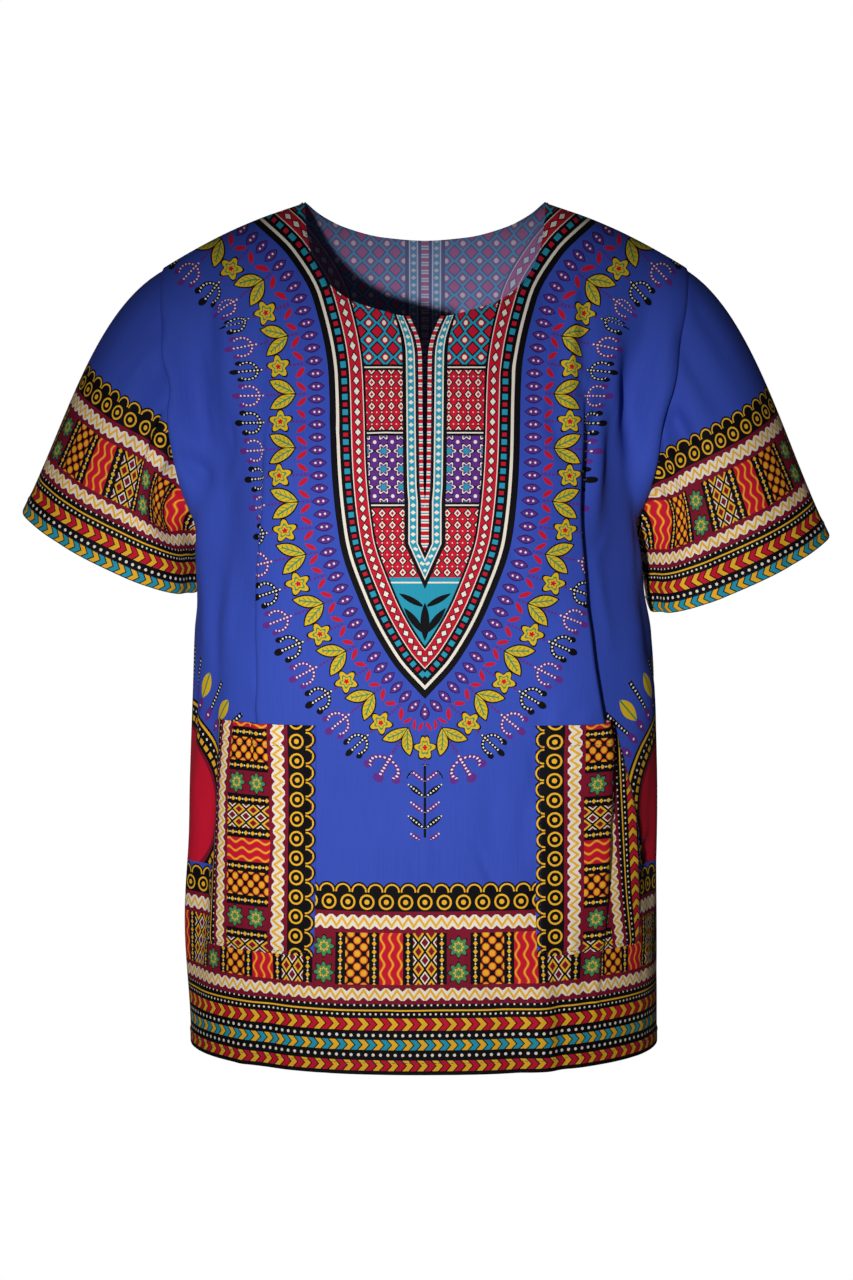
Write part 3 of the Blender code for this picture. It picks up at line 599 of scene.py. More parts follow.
def outline_places(x, z, offset):
    """For points of the plan, the place along the offset line and the distance outwards from the neck panel."""
    curve = offset_outline(offset)
    start, run = curve[:-1], np.diff(curve, axis=0)
    length = np.linalg.norm(run, axis=1)
    travelled = np.concatenate([[0.0], np.cumsum(length)])[:-1]
    point = np.stack([np.abs(x).ravel(), z.ravel()], axis=-1)
    s = np.empty(len(point))
    d = np.empty(len(point))
    for low in range(0, len(point), 4000):
        gap = point[low:low + 4000, None, :] - start[None]
        t = np.clip((gap * run).sum(axis=-1) / length**2, 0.0, 1.0)
        away = gap - t[..., None] * run
        distance = np.linalg.norm(away, axis=-1)
        best = distance.argmin(axis=1)
        row = np.arange(len(best))
        cross = run[best, 1] * gap[row, best, 0] - run[best, 0] * gap[row, best, 1]
        s[low:low + 4000] = travelled[best] + t[row, best] * length[best]
        d[low:low + 4000] = np.sign(cross) * distance[row, best] + offset
    return np.stack([s.reshape(x.shape), d.reshape(x.shape)], axis=-1)


def print_maps(across, base, face):
    """Where each point of a panel lies in the print, in metres."""
    closer = VIEW_Y / (VIEW_Y + base[..., 1]) if face == FRONT else 1.0
    plan_x = base[..., 0] * closer + tucked(across, base[..., 2], face)
    plan_z = VIEW_Z + (base[..., 2] - VIEW_Z) * closer
    girth = arc(across, face)
    seam = np.where(girth < 0.0, GIRTH[face, LEFT][1][-1] + girth, GIRTH[face, RIGHT][1][-1] - girth)
    return {
        "Weave": np.stack([girth, base[..., 2] - 0.5 * np.abs(base[..., 1])], axis=-1),
        "Plan": np.stack([np.abs(plan_x), plan_z], axis=-1),
        "Neck": outline_places(plan_x, plan_z, 0.011),
        "Spray": outline_places(plan_x, plan_z, 0.045),
        "Border": np.stack([girth, base[..., 2] - HEM_Z], axis=-1),
        "Side": np.stack([seam, base[..., 2]], axis=-1),
    }


def cell_middles(values):
    return (values[:-1, :-1] + values[1:, :-1] + values[:-1, 1:] + values[1:, 1:]) / 4.0


def panel_zones(maps):
    """The part of the print that each cell of a panel shows."""
    d = cell_middles(maps["Neck"][..., 1])
    x = cell_middles(maps["Plan"][..., 0])
    height = cell_middles(maps["Border"][..., 1])
    seam, z = cell_middles(maps["Side"][..., 0]), cell_middles(maps["Side"][..., 1])
    zones = np.full(d.shape, PLAIN)
    medallion = (seam < MEDALLION_HALF) & (np.abs(z - MEDALLION_Z - 0.02) < MEDALLION_HALF + 0.02)
    zones[medallion] = SIDE
    zones[(d < SPRAY_REACH) | ((x < TIP_HALF) & (d < TIP_REACH))] = SPRAY
    zones[d < NECK_REACH] = NECK
    zones[height < BORDER_TOP] = BORDER
    return zones


# Print colours and drawing

COLOURS = {
    "blue": (53, 75, 172), "black": (14, 12, 16), "white": (226, 218, 203), "teal": (38, 144, 170),
    "red": (188, 22, 46), "yellow": (226, 170, 42), "leaf": (208, 172, 34), "green": (66, 132, 84),
    "purple": (92, 44, 128), "maroon": (120, 20, 42), "orange": (222, 96, 34), "violet": (44, 26, 84),
    "pale": (128, 138, 196),
}


def linear(name):
    """A print colour in linear light."""
    parts = [value / 255.0 for value in COLOURS[name]]
    return tuple(p / 12.92 if p <= 0.04045 else ((p + 0.055) / 1.055) ** 2.4 for p in parts) + (1.0,)


class Value:
    """A number that a node gives, with the usual arithmetic."""

    tree = None

    def __init__(self, socket):
        self.socket = socket

    def __add__(self, other):
        return maths("ADD", self, other)

    def __sub__(self, other):
        return maths("SUBTRACT", self, other)

    def __rsub__(self, other):
        return maths("SUBTRACT", other, self)

    def __mul__(self, other):
        return maths("MULTIPLY", self, other)

    def __truediv__(self, other):
        return maths("DIVIDE", self, other)

    def __lt__(self, other):
        return maths("LESS_THAN", self, other)

    def __gt__(self, other):
        return maths("GREATER_THAN", self, other)

    def __abs__(self):
        return maths("ABSOLUTE", self)

    __radd__ = __add__
    __rmul__ = __mul__


def maths(operation, *values):
    node = Value.tree.nodes.new("ShaderNodeMath")
    node.operation = operation
    for socket, value in zip(node.inputs, values):
        if isinstance(value, Value):
            Value.tree.links.new(value.socket, socket)
        else:
            socket.default_value = value
    return Value(node.outputs[0])


def places(title):
    """The two coordinates of a map, in millimetres."""
    node = Value.tree.nodes.new("ShaderNodeUVMap")
    node.uv_map = title
    split = Value.tree.nodes.new("ShaderNodeSeparateXYZ")
    Value.tree.links.new(node.outputs[0], split.inputs[0])
    return Value(split.outputs[0]) * 1000.0, Value(split.outputs[1]) * 1000.0


def near(value, period, start=0.0):
    """Distance to the nearest multiple of the period past start."""
    return maths("PINGPONG", value - start if start else value, period / 2.0)


def local(value, period, start=0.0):
    """The signed place within a repeat, from minus half a period to half of one."""
    return maths("WRAP", value - start if start else value, period / 2.0, -period / 2.0)


def within(value, low, high):
    return maths("COMPARE", value, (low + high) / 2.0, (high - low) / 2.0)


def square(value):
    return value * value


def spot(x, y, wide, high=None):
    """An ellipse round 0, 0."""
    high = high or wide
    return (square(x) * (1.0 / wide**2) + square(y) * (1.0 / high**2)) < 1.0


def lozenge(x, y, wide, high):
    return (abs(x) * (1.0 / wide) + abs(y) * (1.0 / high)) < 1.0


def leaf(along, aside, length, half, extra=0.0):
    """A pointed leaf from 0 to its length along."""
    t = along * (2.0 / length) - 1.0
    return abs(aside) < (1.0 - square(t)) * half + extra


def turned(x, y, degrees):
    c, s = math.cos(math.radians(degrees)), math.sin(math.radians(degrees))
    return x * c + y * s, y * c - x * s


def flower(x, y, radius, wave, petals):
    """How far inside a flower a point lies, as a share of its edge."""
    away = maths("SQRT", square(x) + square(y))
    edge = maths("COSINE", maths("ARCTAN2", y, x) * float(petals)) * wave + radius
    return away / edge


def paint(under, name, mask):
    """One printed colour over what lies under it."""
    node = Value.tree.nodes.new("ShaderNodeMix")
    node.data_type = "RGBA"
    if isinstance(mask, Value):
        Value.tree.links.new(mask.socket, node.inputs[0])
    else:
        node.inputs[0].default_value = mask
    for socket, colour in ((node.inputs[6], under), (node.inputs[7], name)):
        if isinstance(colour, str):
            socket.default_value = linear(colour)
        else:
            Value.tree.links.new(colour, socket)
    return node.outputs[2]


def plain_print():
    return paint("blue", "blue", 1.0)


def neck_inner(colour, i, s, x, z):
    """The blocks, the braids beside the slit and the tip of the neck panel."""
    a, b = local(x, 15.0, 4.0), local(z, 15.0, -118.0)
    trellis = abs(a) + abs(b)
    top = paint(paint("red", "teal", within(trellis, 5.2, 8.2)), "white", spot(a, b, 2.1))
    top = paint(paint(top, "black", within(trellis, 8.2, 9.8)), "black", within(trellis, 4.2, 5.2))
    a, b = local(x, 9.0, 1.5), local(z, 10.4, 1.0)
    rows = paint(paint("red", "black", lozenge(a, b, 4.3, 4.9)), "white", lozenge(a, b, 3.0, 3.4))
    rows = paint(rows, "red", lozenge(a, b, 1.6, 1.8))
    rows = paint(rows, "white", spot(local(x, 4.5, 1.5), local(z, 10.4, 6.2), 0.6))
    a, b = local(x, 16.0, 4.0), local(z, 15.8, -230.7)
    bloom = flower(a, b, 5.3, 1.3, 6)
    middle = paint(paint("purple", "black", bloom < 1.2), "white", bloom < 1.0)
    middle = paint(paint(middle, "purple", bloom < 0.78), "teal", bloom < 0.5)
    middle = paint(middle, "white", spot(local(x, 16.0, 12.0), local(z, 15.8, -222.8), 1.6))
    blocks = paint(rows, top, z > -141.8)
    blocks = paint(blocks, middle, within(z, -262.4, -199.0))
    for edge in (-141.8, -199.0, -262.4):
        blocks = paint(blocks, "black", within(z, edge - 2.6, edge + 2.6))
        blocks = paint(blocks, "white", within(z, edge - 0.6, edge + 0.6))
    colour = paint(colour, blocks, i > 31.7)
    closed = x + maths("MAXIMUM", -296.0 - z, 0.0) * 0.45
    braid = paint("black", "teal", within(closed, 6.2, 14.5))
    braid = paint(braid, "white", within(closed, 6.2, 7.4) + within(closed, 13.3, 14.5))
    braid = paint(braid, "white", lozenge(local(z, 6.4), closed - 10.3, 2.0, 2.4))
    stripe = paint(paint("white", "red", near(z, 7.0) < 1.7), "teal", near(z, 7.0, 3.5) < 0.5)
    braid = paint(braid, stripe, closed < 3.4)
    colour = paint(colour, braid, (closed < 18.0) * (z > -338.0) * (i > 16.0))
    below = (z < -325.8) * (i > 31.7) * (closed > 18.0)
    tip = paint("teal", "black", leaf(z + 382.0, x, 34.0, 4.0))
    side_along, side_aside = turned(z + 376.0, x, 38.0)
    tip = paint(tip, "black", leaf(side_along, side_aside, 30.0, 3.2) * (x > 2.0))
    side_along, side_aside = turned(z + 352.0, x, 62.0)
    tip = paint(tip, "black", leaf(side_along, side_aside, 26.0, 2.6) * (x > 2.0))
    tip = paint(tip, "white", within(z, -331.0, -329.6))
    return paint(colour, tip, below)


def neck_print():
    """The neck panel with its bands, and the row of ovals round it."""
    s, d = places("Neck")
    x, z = places("Plan")
    i = 0.0 - d
    t = local(s, 11.2)
    q = (d - 11.3) * (1.0 / 6.9)
    half = (1.0 - square(q)) * 3.2
    colour = paint("blue", "violet", abs(t) < half + 0.8)
    colour = paint(colour, "purple", abs(t) < half - 0.3)
    colour = paint(colour, "white", spot(t, local(d, 4.2, 9.2), 0.95) * within(d, 6.0, 16.5))
    bands = paint("black", "white", within(i, 5.4, 8.0))
    bands = paint(bands, "red", within(i, 11.4, 15.4) * (near(s, 6.6) < 1.8))
    bands = paint(bands, "teal", within(i, 11.0, 15.8) * (near(s, 13.2) < 2.5))
    bands = paint(bands, "red", within(i, 18.0, 29.7))
    bands = paint(bands, "black", lozenge(local(s, 8.8), i - 23.9, 4.4, 3.8))
    bands = paint(bands, "white", lozenge(local(s, 8.8), i - 23.9, 3.3, 2.5))
    bands = paint(bands, "white", within(i, 18.0, 18.8) + within(i, 29.0, 29.7))
    bands = neck_inner(bands, i, s, x, z)
    return paint(colour, bands, i > 0.0)


def spray_print():
    """Rosettes, leaf pairs and dotted sprigs that stand round the neck panel."""
    s, d = places("Spray")
    x, z = places("Plan")
    t = local(s, 24.0)
    even = near(s, 48.0) < 12.0
    side = abs(t)
    colour = paint("blue", "purple", spot(t, local(d, 3.2), 1.2) * within(d, 19.0, 57.0))
    along, aside = turned(d - 20.0, side - 2.4, 42.0)
    colour = paint(colour, "red", leaf(along, aside, 12.0, 2.1))
    t = near(s, 48.0, 24.0)
    along, aside = turned(d - 30.0, t - 0.6, 28.0)
    colour = paint(colour, "black", leaf(along, aside, 25.0, 5.2, 0.9))
    colour = paint(colour, "leaf", leaf(along, aside, 25.0, 5.2, -0.4))
    colour = paint(colour, "green", (abs(aside) < 0.6) * within(along, 2.5, 20.0))
    veins = near(along - abs(aside) * 1.1, 4.6) < 0.5
    colour = paint(colour, "green", veins * leaf(along, aside, 22.5, 4.1))
    t = local(s, 48.0)
    bloom = flower(t, d - 43.0, 8.5, 2.1, 5)
    colour = paint(colour, "black", bloom < 1.08)
    colour = paint(colour, "leaf", bloom < 0.93)
    colour = paint(colour, "green", bloom < 0.60)
    colour = paint(colour, "leaf", bloom < 0.45)
    colour = paint(colour, "red", bloom < 0.24)
    t = local(s, 24.0)
    r = maths("SQRT", square(t) + square(d - 71.0))
    arm = within(r, 7.0, 10.2) * (d < 75.0)
    stalk = (side < 1.5) * within(d, 58.0, 79.0)
    bud = spot(t, d - 81.0, 2.7, 4.2)
    ends = spot(side - 8.6, d - 76.5, 2.3, 3.2)
    sprig = maths("MAXIMUM", maths("MAXIMUM", arm, stalk), maths("MAXIMUM", bud, ends))
    colour = paint(colour, paint("purple", "black", even), sprig)
    dots = spot(local(maths("ARCTAN2", t, 71.0 - d) * 8.6, 3.1), r - 8.6, 0.8) * (d < 76.0)
    colour = paint(colour, "white", maths("MAXIMUM", dots, spot(t, local(d, 3.1), 0.8) * stalk))
    low = (x < 7.0 - (z + 492.0) * 0.75) * within(z, -558.0, -491.0)
    along, aside = turned(local(z, 28.0, -520.0), x - 0.4, 52.0)
    dark = leaf(along, aside, 19.0, 2.6) * (z > -552.0)
    colour = paint(colour, "blue", low)
    colour = paint(colour, "black", low * maths("MAXIMUM", dark, (x < 1.1) * (z > -556.0)))
    colour = paint(colour, "white", low * dark * (abs(aside) < 0.7) * (near(along, 3.0) < 0.7))
    along, aside = turned(local(z, 28.0, -534.0), x - 0.4, 52.0)
    light = leaf(along, aside, 17.0, 2.5)
    colour = paint(colour, "purple", low * light)
    return paint(colour, "white", low * light * (abs(aside) < 0.7) * (near(along, 3.0) < 0.7))


def side_print():
    """The red medallion at each side seam, with rings of dots and short leaves round it."""
    seam, z = places("Side")
    up = (z - MEDALLION_Z * 1000.0) * (1.0 / 92.0)
    out = seam * (1.0 / 98.0)
    e = maths("SQRT", square(up) + square(out))
    angle = maths("ARCTAN2", up, out) * 90.0
    colour = paint("blue", "purple", leaf((e - 1.02) * 90.0, local(angle, 12.0), 17.0, 3.2))
    colour = paint(colour, "white", spot(local(angle, 12.0), (e - 1.10) * 90.0, 1.0))
    tall = leaf((e - 1.18) * 90.0, local(angle, 24.0), 26.0, 4.6)
    colour = paint(colour, "leaf", tall * (up > 0.0))
    colour = paint(colour, "green", (abs(local(angle, 24.0)) < 0.55) * tall)
    stalks = within((e - 1.18) * 90.0, 0.0, 30.0)
    colour = paint(colour, "black", stalks * (near(angle, 24.0, 12.0) < 1.5))
    colour = paint(colour, "white", stalks * spot(local(angle, 24.0, 12.0), local(e * 90.0, 3.6), 0.8))
    colour = paint(colour, "black", e < 1.0)
    colour = paint(colour, "yellow", within(e, 0.945, 0.975))
    colour = paint(colour, "white", spot(local(angle, 6.6), (e - 0.90) * 90.0, 1.2))
    colour = paint(colour, "yellow", within(e, 0.80, 0.85))
    colour = paint(colour, "black", within(e, 0.80, 0.85) * (near(angle, 9.0) < 1.5))
    colour = paint(colour, "maroon", e < 0.76)
    return paint(colour, "red", e < 0.72)


def chevrons(colour, u, v, low, high, ground, mark, period):
    """A band of chevrons between two heights."""
    middle = (low + high) / 2.0
    shown = within(v, low, high)
    colour = paint(colour, ground, shown)
    pointed = near(u + abs(v - middle) * 0.9, period)
    colour = paint(colour, mark, shown * (pointed < period * 0.21))
    return paint(colour, "black", shown * within(pointed, period * 0.20, period * 0.30))


def dotted(colour, u, v, middle, radius, period, name="white"):
    return paint(colour, name, spot(local(u, period), v - middle, radius))


def zigzag(colour, u, v, low, high):
    """A pale band with a yellow zigzag and maroon teeth along both edges."""
    middle = (low + high) / 2.0
    shown = within(v, low, high)
    colour = paint(colour, "white", shown)
    wave = (near(u, 9.4) - 2.35) * 1.5
    colour = paint(colour, "yellow", abs(v - middle - wave) < 1.7)
    tooth = near(u, 9.4) * 0.85
    colour = paint(colour, "maroon", within(v, low - 3.0, middle) * (v < low - 1.2 + tooth))
    return paint(colour, "maroon", within(v, middle, high + 3.0) * (v > high - 2.8 + tooth))


def border_blocks(u, v):
    """Four kinds of block by turns: lozenges, rosettes, a trellis and waves, with dotted bars between them."""
    t = local(u, 28.6)
    w = v - 96.5
    kind = maths("FLOORED_MODULO", maths("FLOOR", u * (1.0 / 28.6) + 0.5), 4.0)
    a, b = local(t, 11.0), local(w, 15.0)
    colour = paint(paint("maroon", "yellow", lozenge(a, b, 8.2, 11.2)), "black", lozenge(a, b, 6.2, 8.6))
    colour = paint(colour, "white", lozenge(a, b, 4.2, 5.8))
    colour = paint(colour, "maroon", lozenge(a, b, 3.0, 4.0))
    bloom = flower(t, local(w, 22.0, 11.0), 6.4, 1.3, 8)
    rosette = paint(paint("maroon", "black", bloom < 1.30), "green", bloom < 1.14)
    rosette = paint(paint(rosette, "yellow", bloom < 0.62), "green", bloom < 0.42)
    trellis = near(t + w, 11.0) * near(t - w, 11.0)
    lattice = paint(paint("black", "orange", trellis > 4.4), "yellow", trellis > 10.0)
    wave = near(t + maths("SINE", w * 0.42) * 1.6, 7.4)
    flame = paint(paint("orange", "red", wave > 1.3), "yellow", wave < 0.55)
    colour = paint(colour, rosette, within(kind, 0.5, 1.5))
    colour = paint(colour, lattice, within(kind, 1.5, 2.5))
    colour = paint(colour, flame, within(kind, 2.5, 3.5))
    bar_place = abs(t) - 14.3
    bar = paint("black", "yellow", lozenge(bar_place, local(w, 7.0), 2.0, 2.4))
    bar = paint(bar, "white", spot(bar_place, local(w, 7.0, 3.5), 0.8))
    colour = paint(colour, bar, abs(t) > 11.0)
    return paint(colour, "black", within(abs(t), 10.0, 11.6))


def border_print():
    """The printed border, by its height above the edge of the hem."""
    u, v = places("Border")
    colour = paint("blue", "black", v < 155.5)
    t = local(u, 14.0)
    r = maths("SQRT", square(t) + square(v - 154.0))
    colour = paint(colour, "black", r < 8.0)
    colour = paint(colour, "yellow", within(r, 5.2, 6.6))
    ring = flower(local(u, 16.4), v - 145.2, 6.3, 0.0, 1)
    colour = paint(colour, "black", within(v, 136.0, 153.5))
    colour = paint(colour, "yellow", within(ring, 0.76, 1.02))
    colour = paint(colour, "yellow", ring < 0.34)
    colour = paint(colour, "yellow", within(v, 136.4, 137.4))
    colour = paint(colour, border_blocks(u, v), within(v, 74.0, 119.5))
    colour = zigzag(colour, u, v, 122.5, 134.5)
    colour = zigzag(colour, u, v, 62.5, 73.0)
    colour = dotted(colour, u, v, 58.6, 0.8, 5.4)
    colour = paint(colour, "yellow", within(v, 53.5, 54.9))
    colour = dotted(colour, u, v, 51.0, 0.9, 4.6)
    colour = chevrons(colour, u, v, 37.4, 47.6, "red", "yellow", 12.4)
    colour = dotted(colour, u, v, 33.2, 1.3, 6.2)
    colour = chevrons(colour, u, v, 20.8, 29.4, "teal", "yellow", 12.4)
    colour = dotted(colour, u, v, 16.6, 1.3, 6.2)
    return chevrons(colour, u, v, 3.4, 12.2, "red", "yellow", 12.4)


PRINTS = [plain_print, neck_print, spray_print, border_print, side_print]
PRINT_NAMES = ["plain", "neck", "spray", "border", "side"]


def noise(vector, scale, detail, stretch):
    """Soft noise over a map, stretched along its second coordinate."""
    tree = Value.tree
    mapping = tree.nodes.new("ShaderNodeMapping")
    mapping.inputs["Scale"].default_value = stretch
    tree.links.new(vector, mapping.inputs["Vector"])
    node = tree.nodes.new("ShaderNodeTexNoise")
    node.noise_dimensions = "2D"
    node.inputs["Scale"].default_value = scale
    node.inputs["Detail"].default_value = detail
    tree.links.new(mapping.outputs[0], node.inputs["Vector"])
    return Value(node.outputs["Fac"])


def cotton(name, draw, wrong):
    """Printed cotton: the print, slightly uneven, with a fine weave and slubs, nearly matt."""
    material = bpy.data.materials.new(name)
    material.use_nodes = True
    tree = material.node_tree
    Value.tree = tree
    shader = tree.nodes["Principled BSDF"]
    colour = draw()
    if wrong:
        colour = paint(colour, "pale", 0.50)
    weave = tree.nodes.new("ShaderNodeUVMap")
    weave.uv_map = "Weave"
    slub = noise(weave.outputs[0], 1.0, 3.0, (900.0, 28.0, 1.0))
    cloud = noise(weave.outputs[0], 9.0, 2.0, (1.0, 1.0, 1.0))
    shade = slub * 0.20 + cloud * 0.10 + 0.85
    tint = tree.nodes.new("ShaderNodeVectorMath")
    tint.operation = "SCALE"
    tree.links.new(colour, tint.inputs[0])
    tree.links.new(shade.socket, tint.inputs["Scale"])
    tree.links.new(tint.outputs[0], shader.inputs["Base Color"])
    shader.inputs["Roughness"].default_value = 0.66
    shader.inputs["Specular IOR Level"].default_value = 0.06
    shader.inputs["Sheen Weight"].default_value = 0.01
    shader.inputs["Sheen Roughness"].default_value = 0.45
    across, along = places("Weave")
    threads = maths("SINE", across * 9.0) * maths("SINE", along * 9.0)
    relief = threads * 0.25 + slub * 1.0
    bump = tree.nodes.new("ShaderNodeBump")
    bump.inputs["Strength"].default_value = 0.35
    bump.inputs["Distance"].default_value = 0.00030
    tree.links.new(relief.socket, bump.inputs["Height"])
    tree.links.new(bump.outputs[0], shader.inputs["Normal"])
    return material


# Shells

SHELL = 0.0008
POCKET_LIFT = 0.0004
POCKET_MOUTH = 0.0030
HEM_TURN = 0.012
HEM_RAISE = 0.0004
FRONT_CELLS, BACK_CELLS = 160, 140
FOLD_REACH = 0.055
UPPER_CELLS, LOWER_CELLS = 74, 112
SLEEVE_CELLS, SLEEVE_LENGTH_CELLS = 144, 64
POCKET_CELLS = (52, 66)


# The outer skin of each shell, by its rows and columns, for the stitches
Grid = namedtuple("Grid", "rows columns outer normal")
GRIDS = {}


def grid_normals(points, out, wrapped=False):
    """Unit normals of a grid of points, from the grid itself."""
    if wrapped:
        points = np.concatenate([points[:, -3:-1], points, points[:, 1:3]], axis=1)
    normal = np.cross(np.gradient(points, axis=1), np.gradient(points, axis=0))
    if wrapped:
        normal = normal[:, 2:-2]
    return unit(normal) * out


def add_shell(name, outer, inner, weld, skipped, flip, zones, maps, materials):
    """A closed shell of cloth on a grid of points.

    weld gives each grid point's own vertex, so that a tube closes and a slit ends.
    Maps are kept for each grid point.
    """
    rows, columns = outer.shape[:2]
    index = np.arange(rows * columns).reshape(rows, columns)
    quads = np.stack([index[:-1, :-1], index[:-1, 1:], index[1:, 1:], index[1:, :-1]], axis=-1)
    keep = np.ones((rows - 1, columns - 1), bool)
    if skipped >= 0:
        keep[:, skipped] = False
    quads, zones = quads[keep], zones[keep]
    if flip:
        quads = quads[:, ::-1]
    first = {}
    for number, quad in enumerate(quads.tolist()):
        for a, b in zip(quad, quad[1:] + quad[:1]):
            first[(weld[a], weld[b])] = (a, b, number)
    rim = [value for (a, b), value in first.items() if (b, a) not in first]
    rim_pairs = np.array([(a, b) for a, b, _ in rim])
    begin, end = rim_pairs[:, 0], rim_pairs[:, 1]
    rim_zones = zones[[number for _, _, number in rim]]
    total = rows * columns
    grid_loops = np.concatenate([
        quads,
        quads[:, ::-1] + total,
        np.stack([end, begin, begin + total, end + total], axis=-1),
    ])
    welded = np.concatenate([weld, weld + total])
    used, vertex_loops = np.unique(welded[grid_loops], return_inverse=True)
    points = np.concatenate([outer.reshape(-1, 3), inner.reshape(-1, 3)])[used]
    mesh = bpy.data.meshes.new(name)
    mesh.from_pydata(points.tolist(), [], vertex_loops.reshape(-1, 4).tolist())
    mesh.shade_smooth()
    for material in materials:
        mesh.materials.append(material)
    face_zones = np.concatenate([zones, zones + ZONES, rim_zones]).astype(np.int32)
    mesh.polygons.foreach_set("material_index", face_zones)
    for title, values in maps.items():
        layer = mesh.uv_layers.new(name=title)
        flat = values.reshape(-1, 2)[grid_loops.ravel() % total]
        layer.data.foreach_set("uv", flat.astype(np.float32).ravel())
    layer = mesh.uv_layers.new(name="OFBake")
    flat = bake_map(rows, columns, grid_loops, len(quads), total)
    layer.data.foreach_set("uv", flat.astype(np.float32).ravel())
    mesh.set_sharp_from_angle(angle=math.radians(55.0))
    thing = bpy.data.objects.new(name, mesh)
    bpy.context.scene.collection.objects.link(thing)
    return thing


def bake_map(rows, columns, loops, count, total):
    """A flat map: the outer skin above, the rim as a strip and the inner skin below it."""
    grid = loops % total
    u = (grid % columns) / (columns - 1) * 0.996 + 0.002
    v = 1.0 - (grid // columns) / (rows - 1)
    place = np.stack([u, v * 0.700 + 0.298], axis=-1)
    place[count:2 * count, :, 1] = v[count:2 * count] * 0.270 + 0.002
    edge = np.arange(len(loops) - 2 * count) / max(len(loops) - 2 * count, 1)
    width = edge[1] - edge[0]
    place[2 * count:, :, 0] = edge[:, None] + np.array([1.0, 0.0, 0.0, 1.0]) * width
    place[2 * count:, :, 1] = 0.280 + np.array([0.0, 0.0, 1.0, 1.0]) * 0.010
    return place.reshape(-1, 2)


def girth_table():
    """Arc length along the hem from the middle of a panel to each place across, as a function of across."""
    tables = {}
    for face in (FRONT, BACK):
        across = np.linspace(0.0, 1.0, 401)
        for side in (LEFT, RIGHT):
            points = ring(across * side, HEM_Z + 0.0 * across, face)
            steps = np.linalg.norm(np.diff(points, axis=0), axis=1)
            tables[face, side] = (across, np.concatenate([[0.0], np.cumsum(steps)]))
    return tables


GIRTH = girth_table()


def arc(across, face):
    """Signed arc length from the middle of a panel."""
    left = np.interp(-across, *GIRTH[face, LEFT])
    right = np.interp(across, *GIRTH[face, RIGHT])
    return np.where(across < 0.0, -left, right)


def down_lines(extra=()):
    """The rows of a panel, with extra ones at the hem's turned edge."""
    upper = np.linspace(0.0, 1.0, UPPER_CELLS + 1)[:-1]
    lower = np.linspace(1.0, 2.0, LOWER_CELLS + 1)
    high = UNDERARM_Z - HEM_Z
    close = [2.0 - height / high for height in extra]
    return np.sort(np.concatenate([upper, lower, close]))


def panel_base(column, down, face):
    """The place across, and the point without folds, of each grid point."""
    first = smooth_form(column, down, face)
    across = follow_folds(column, down, first[..., 2], face)
    return across, smooth_form(across, down, face)


def columns_of(face, cells):
    """Even columns across a panel, with two more in each cell beside a long fold of the front."""
    even = np.linspace(-1.0, 1.0, cells + 1)
    even[cells // 2] = 0.0
    middles = (even[:-1] + even[1:]) / 2.0
    beside = middles[np.abs(np.abs(middles) - FOLD_HOME) < FOLD_REACH] if face == FRONT else middles[:0]
    third = 1.0 / (3.0 * cells)
    return np.sort(np.concatenate([even, beside - third, beside + third]))


def build_panel(name, face, cells, materials):
    """The front or back: on the front the middle line is doubled down to the foot of the slit."""
    columns = columns_of(face, cells)
    middle = len(columns) // 2
    rows = down_lines((HEM_TURN - 0.001, HEM_TURN + 0.001))
    column, down = np.meshgrid(columns, rows)
    flat = panel(column, down, face)
    normal = grid_normals(flat, face)
    across, base = panel_base(column, down, face)
    order = np.insert(np.arange(len(columns)), middle, middle)
    halves = np.where(np.arange(len(columns) + 1) <= middle, LEFT, RIGHT)
    if face == FRONT:
        column, down, normal, across, base = (a[:, order] for a in (column, down, normal, across, base))
        outer = panel(column, down, face, np.broadcast_to(halves, column.shape))
    else:
        outer = flat
    height = base[..., 2] - HEM_Z
    raised = HEM_RAISE * (1.0 - soft_step((height - HEM_TURN + 0.001) / 0.002))
    outer = outer + normal * raised[..., None]
    inner = outer - normal * (SHELL + 1.5 * raised)[..., None]
    total = column.size
    weld = np.arange(total).reshape(column.shape)
    if face == FRONT:
        joined = rows >= SLIT_DOWN
        weld[joined, middle + 1] = weld[joined, middle]
    GRIDS[name] = Grid(rows, column[0], outer, normal)
    maps = print_maps(across, base, face)
    zones = panel_zones(maps)
    skipped = middle if face == FRONT else -1
    return add_shell(name, outer, inner, weld.ravel(), skipped, face == FRONT, zones, maps, materials)


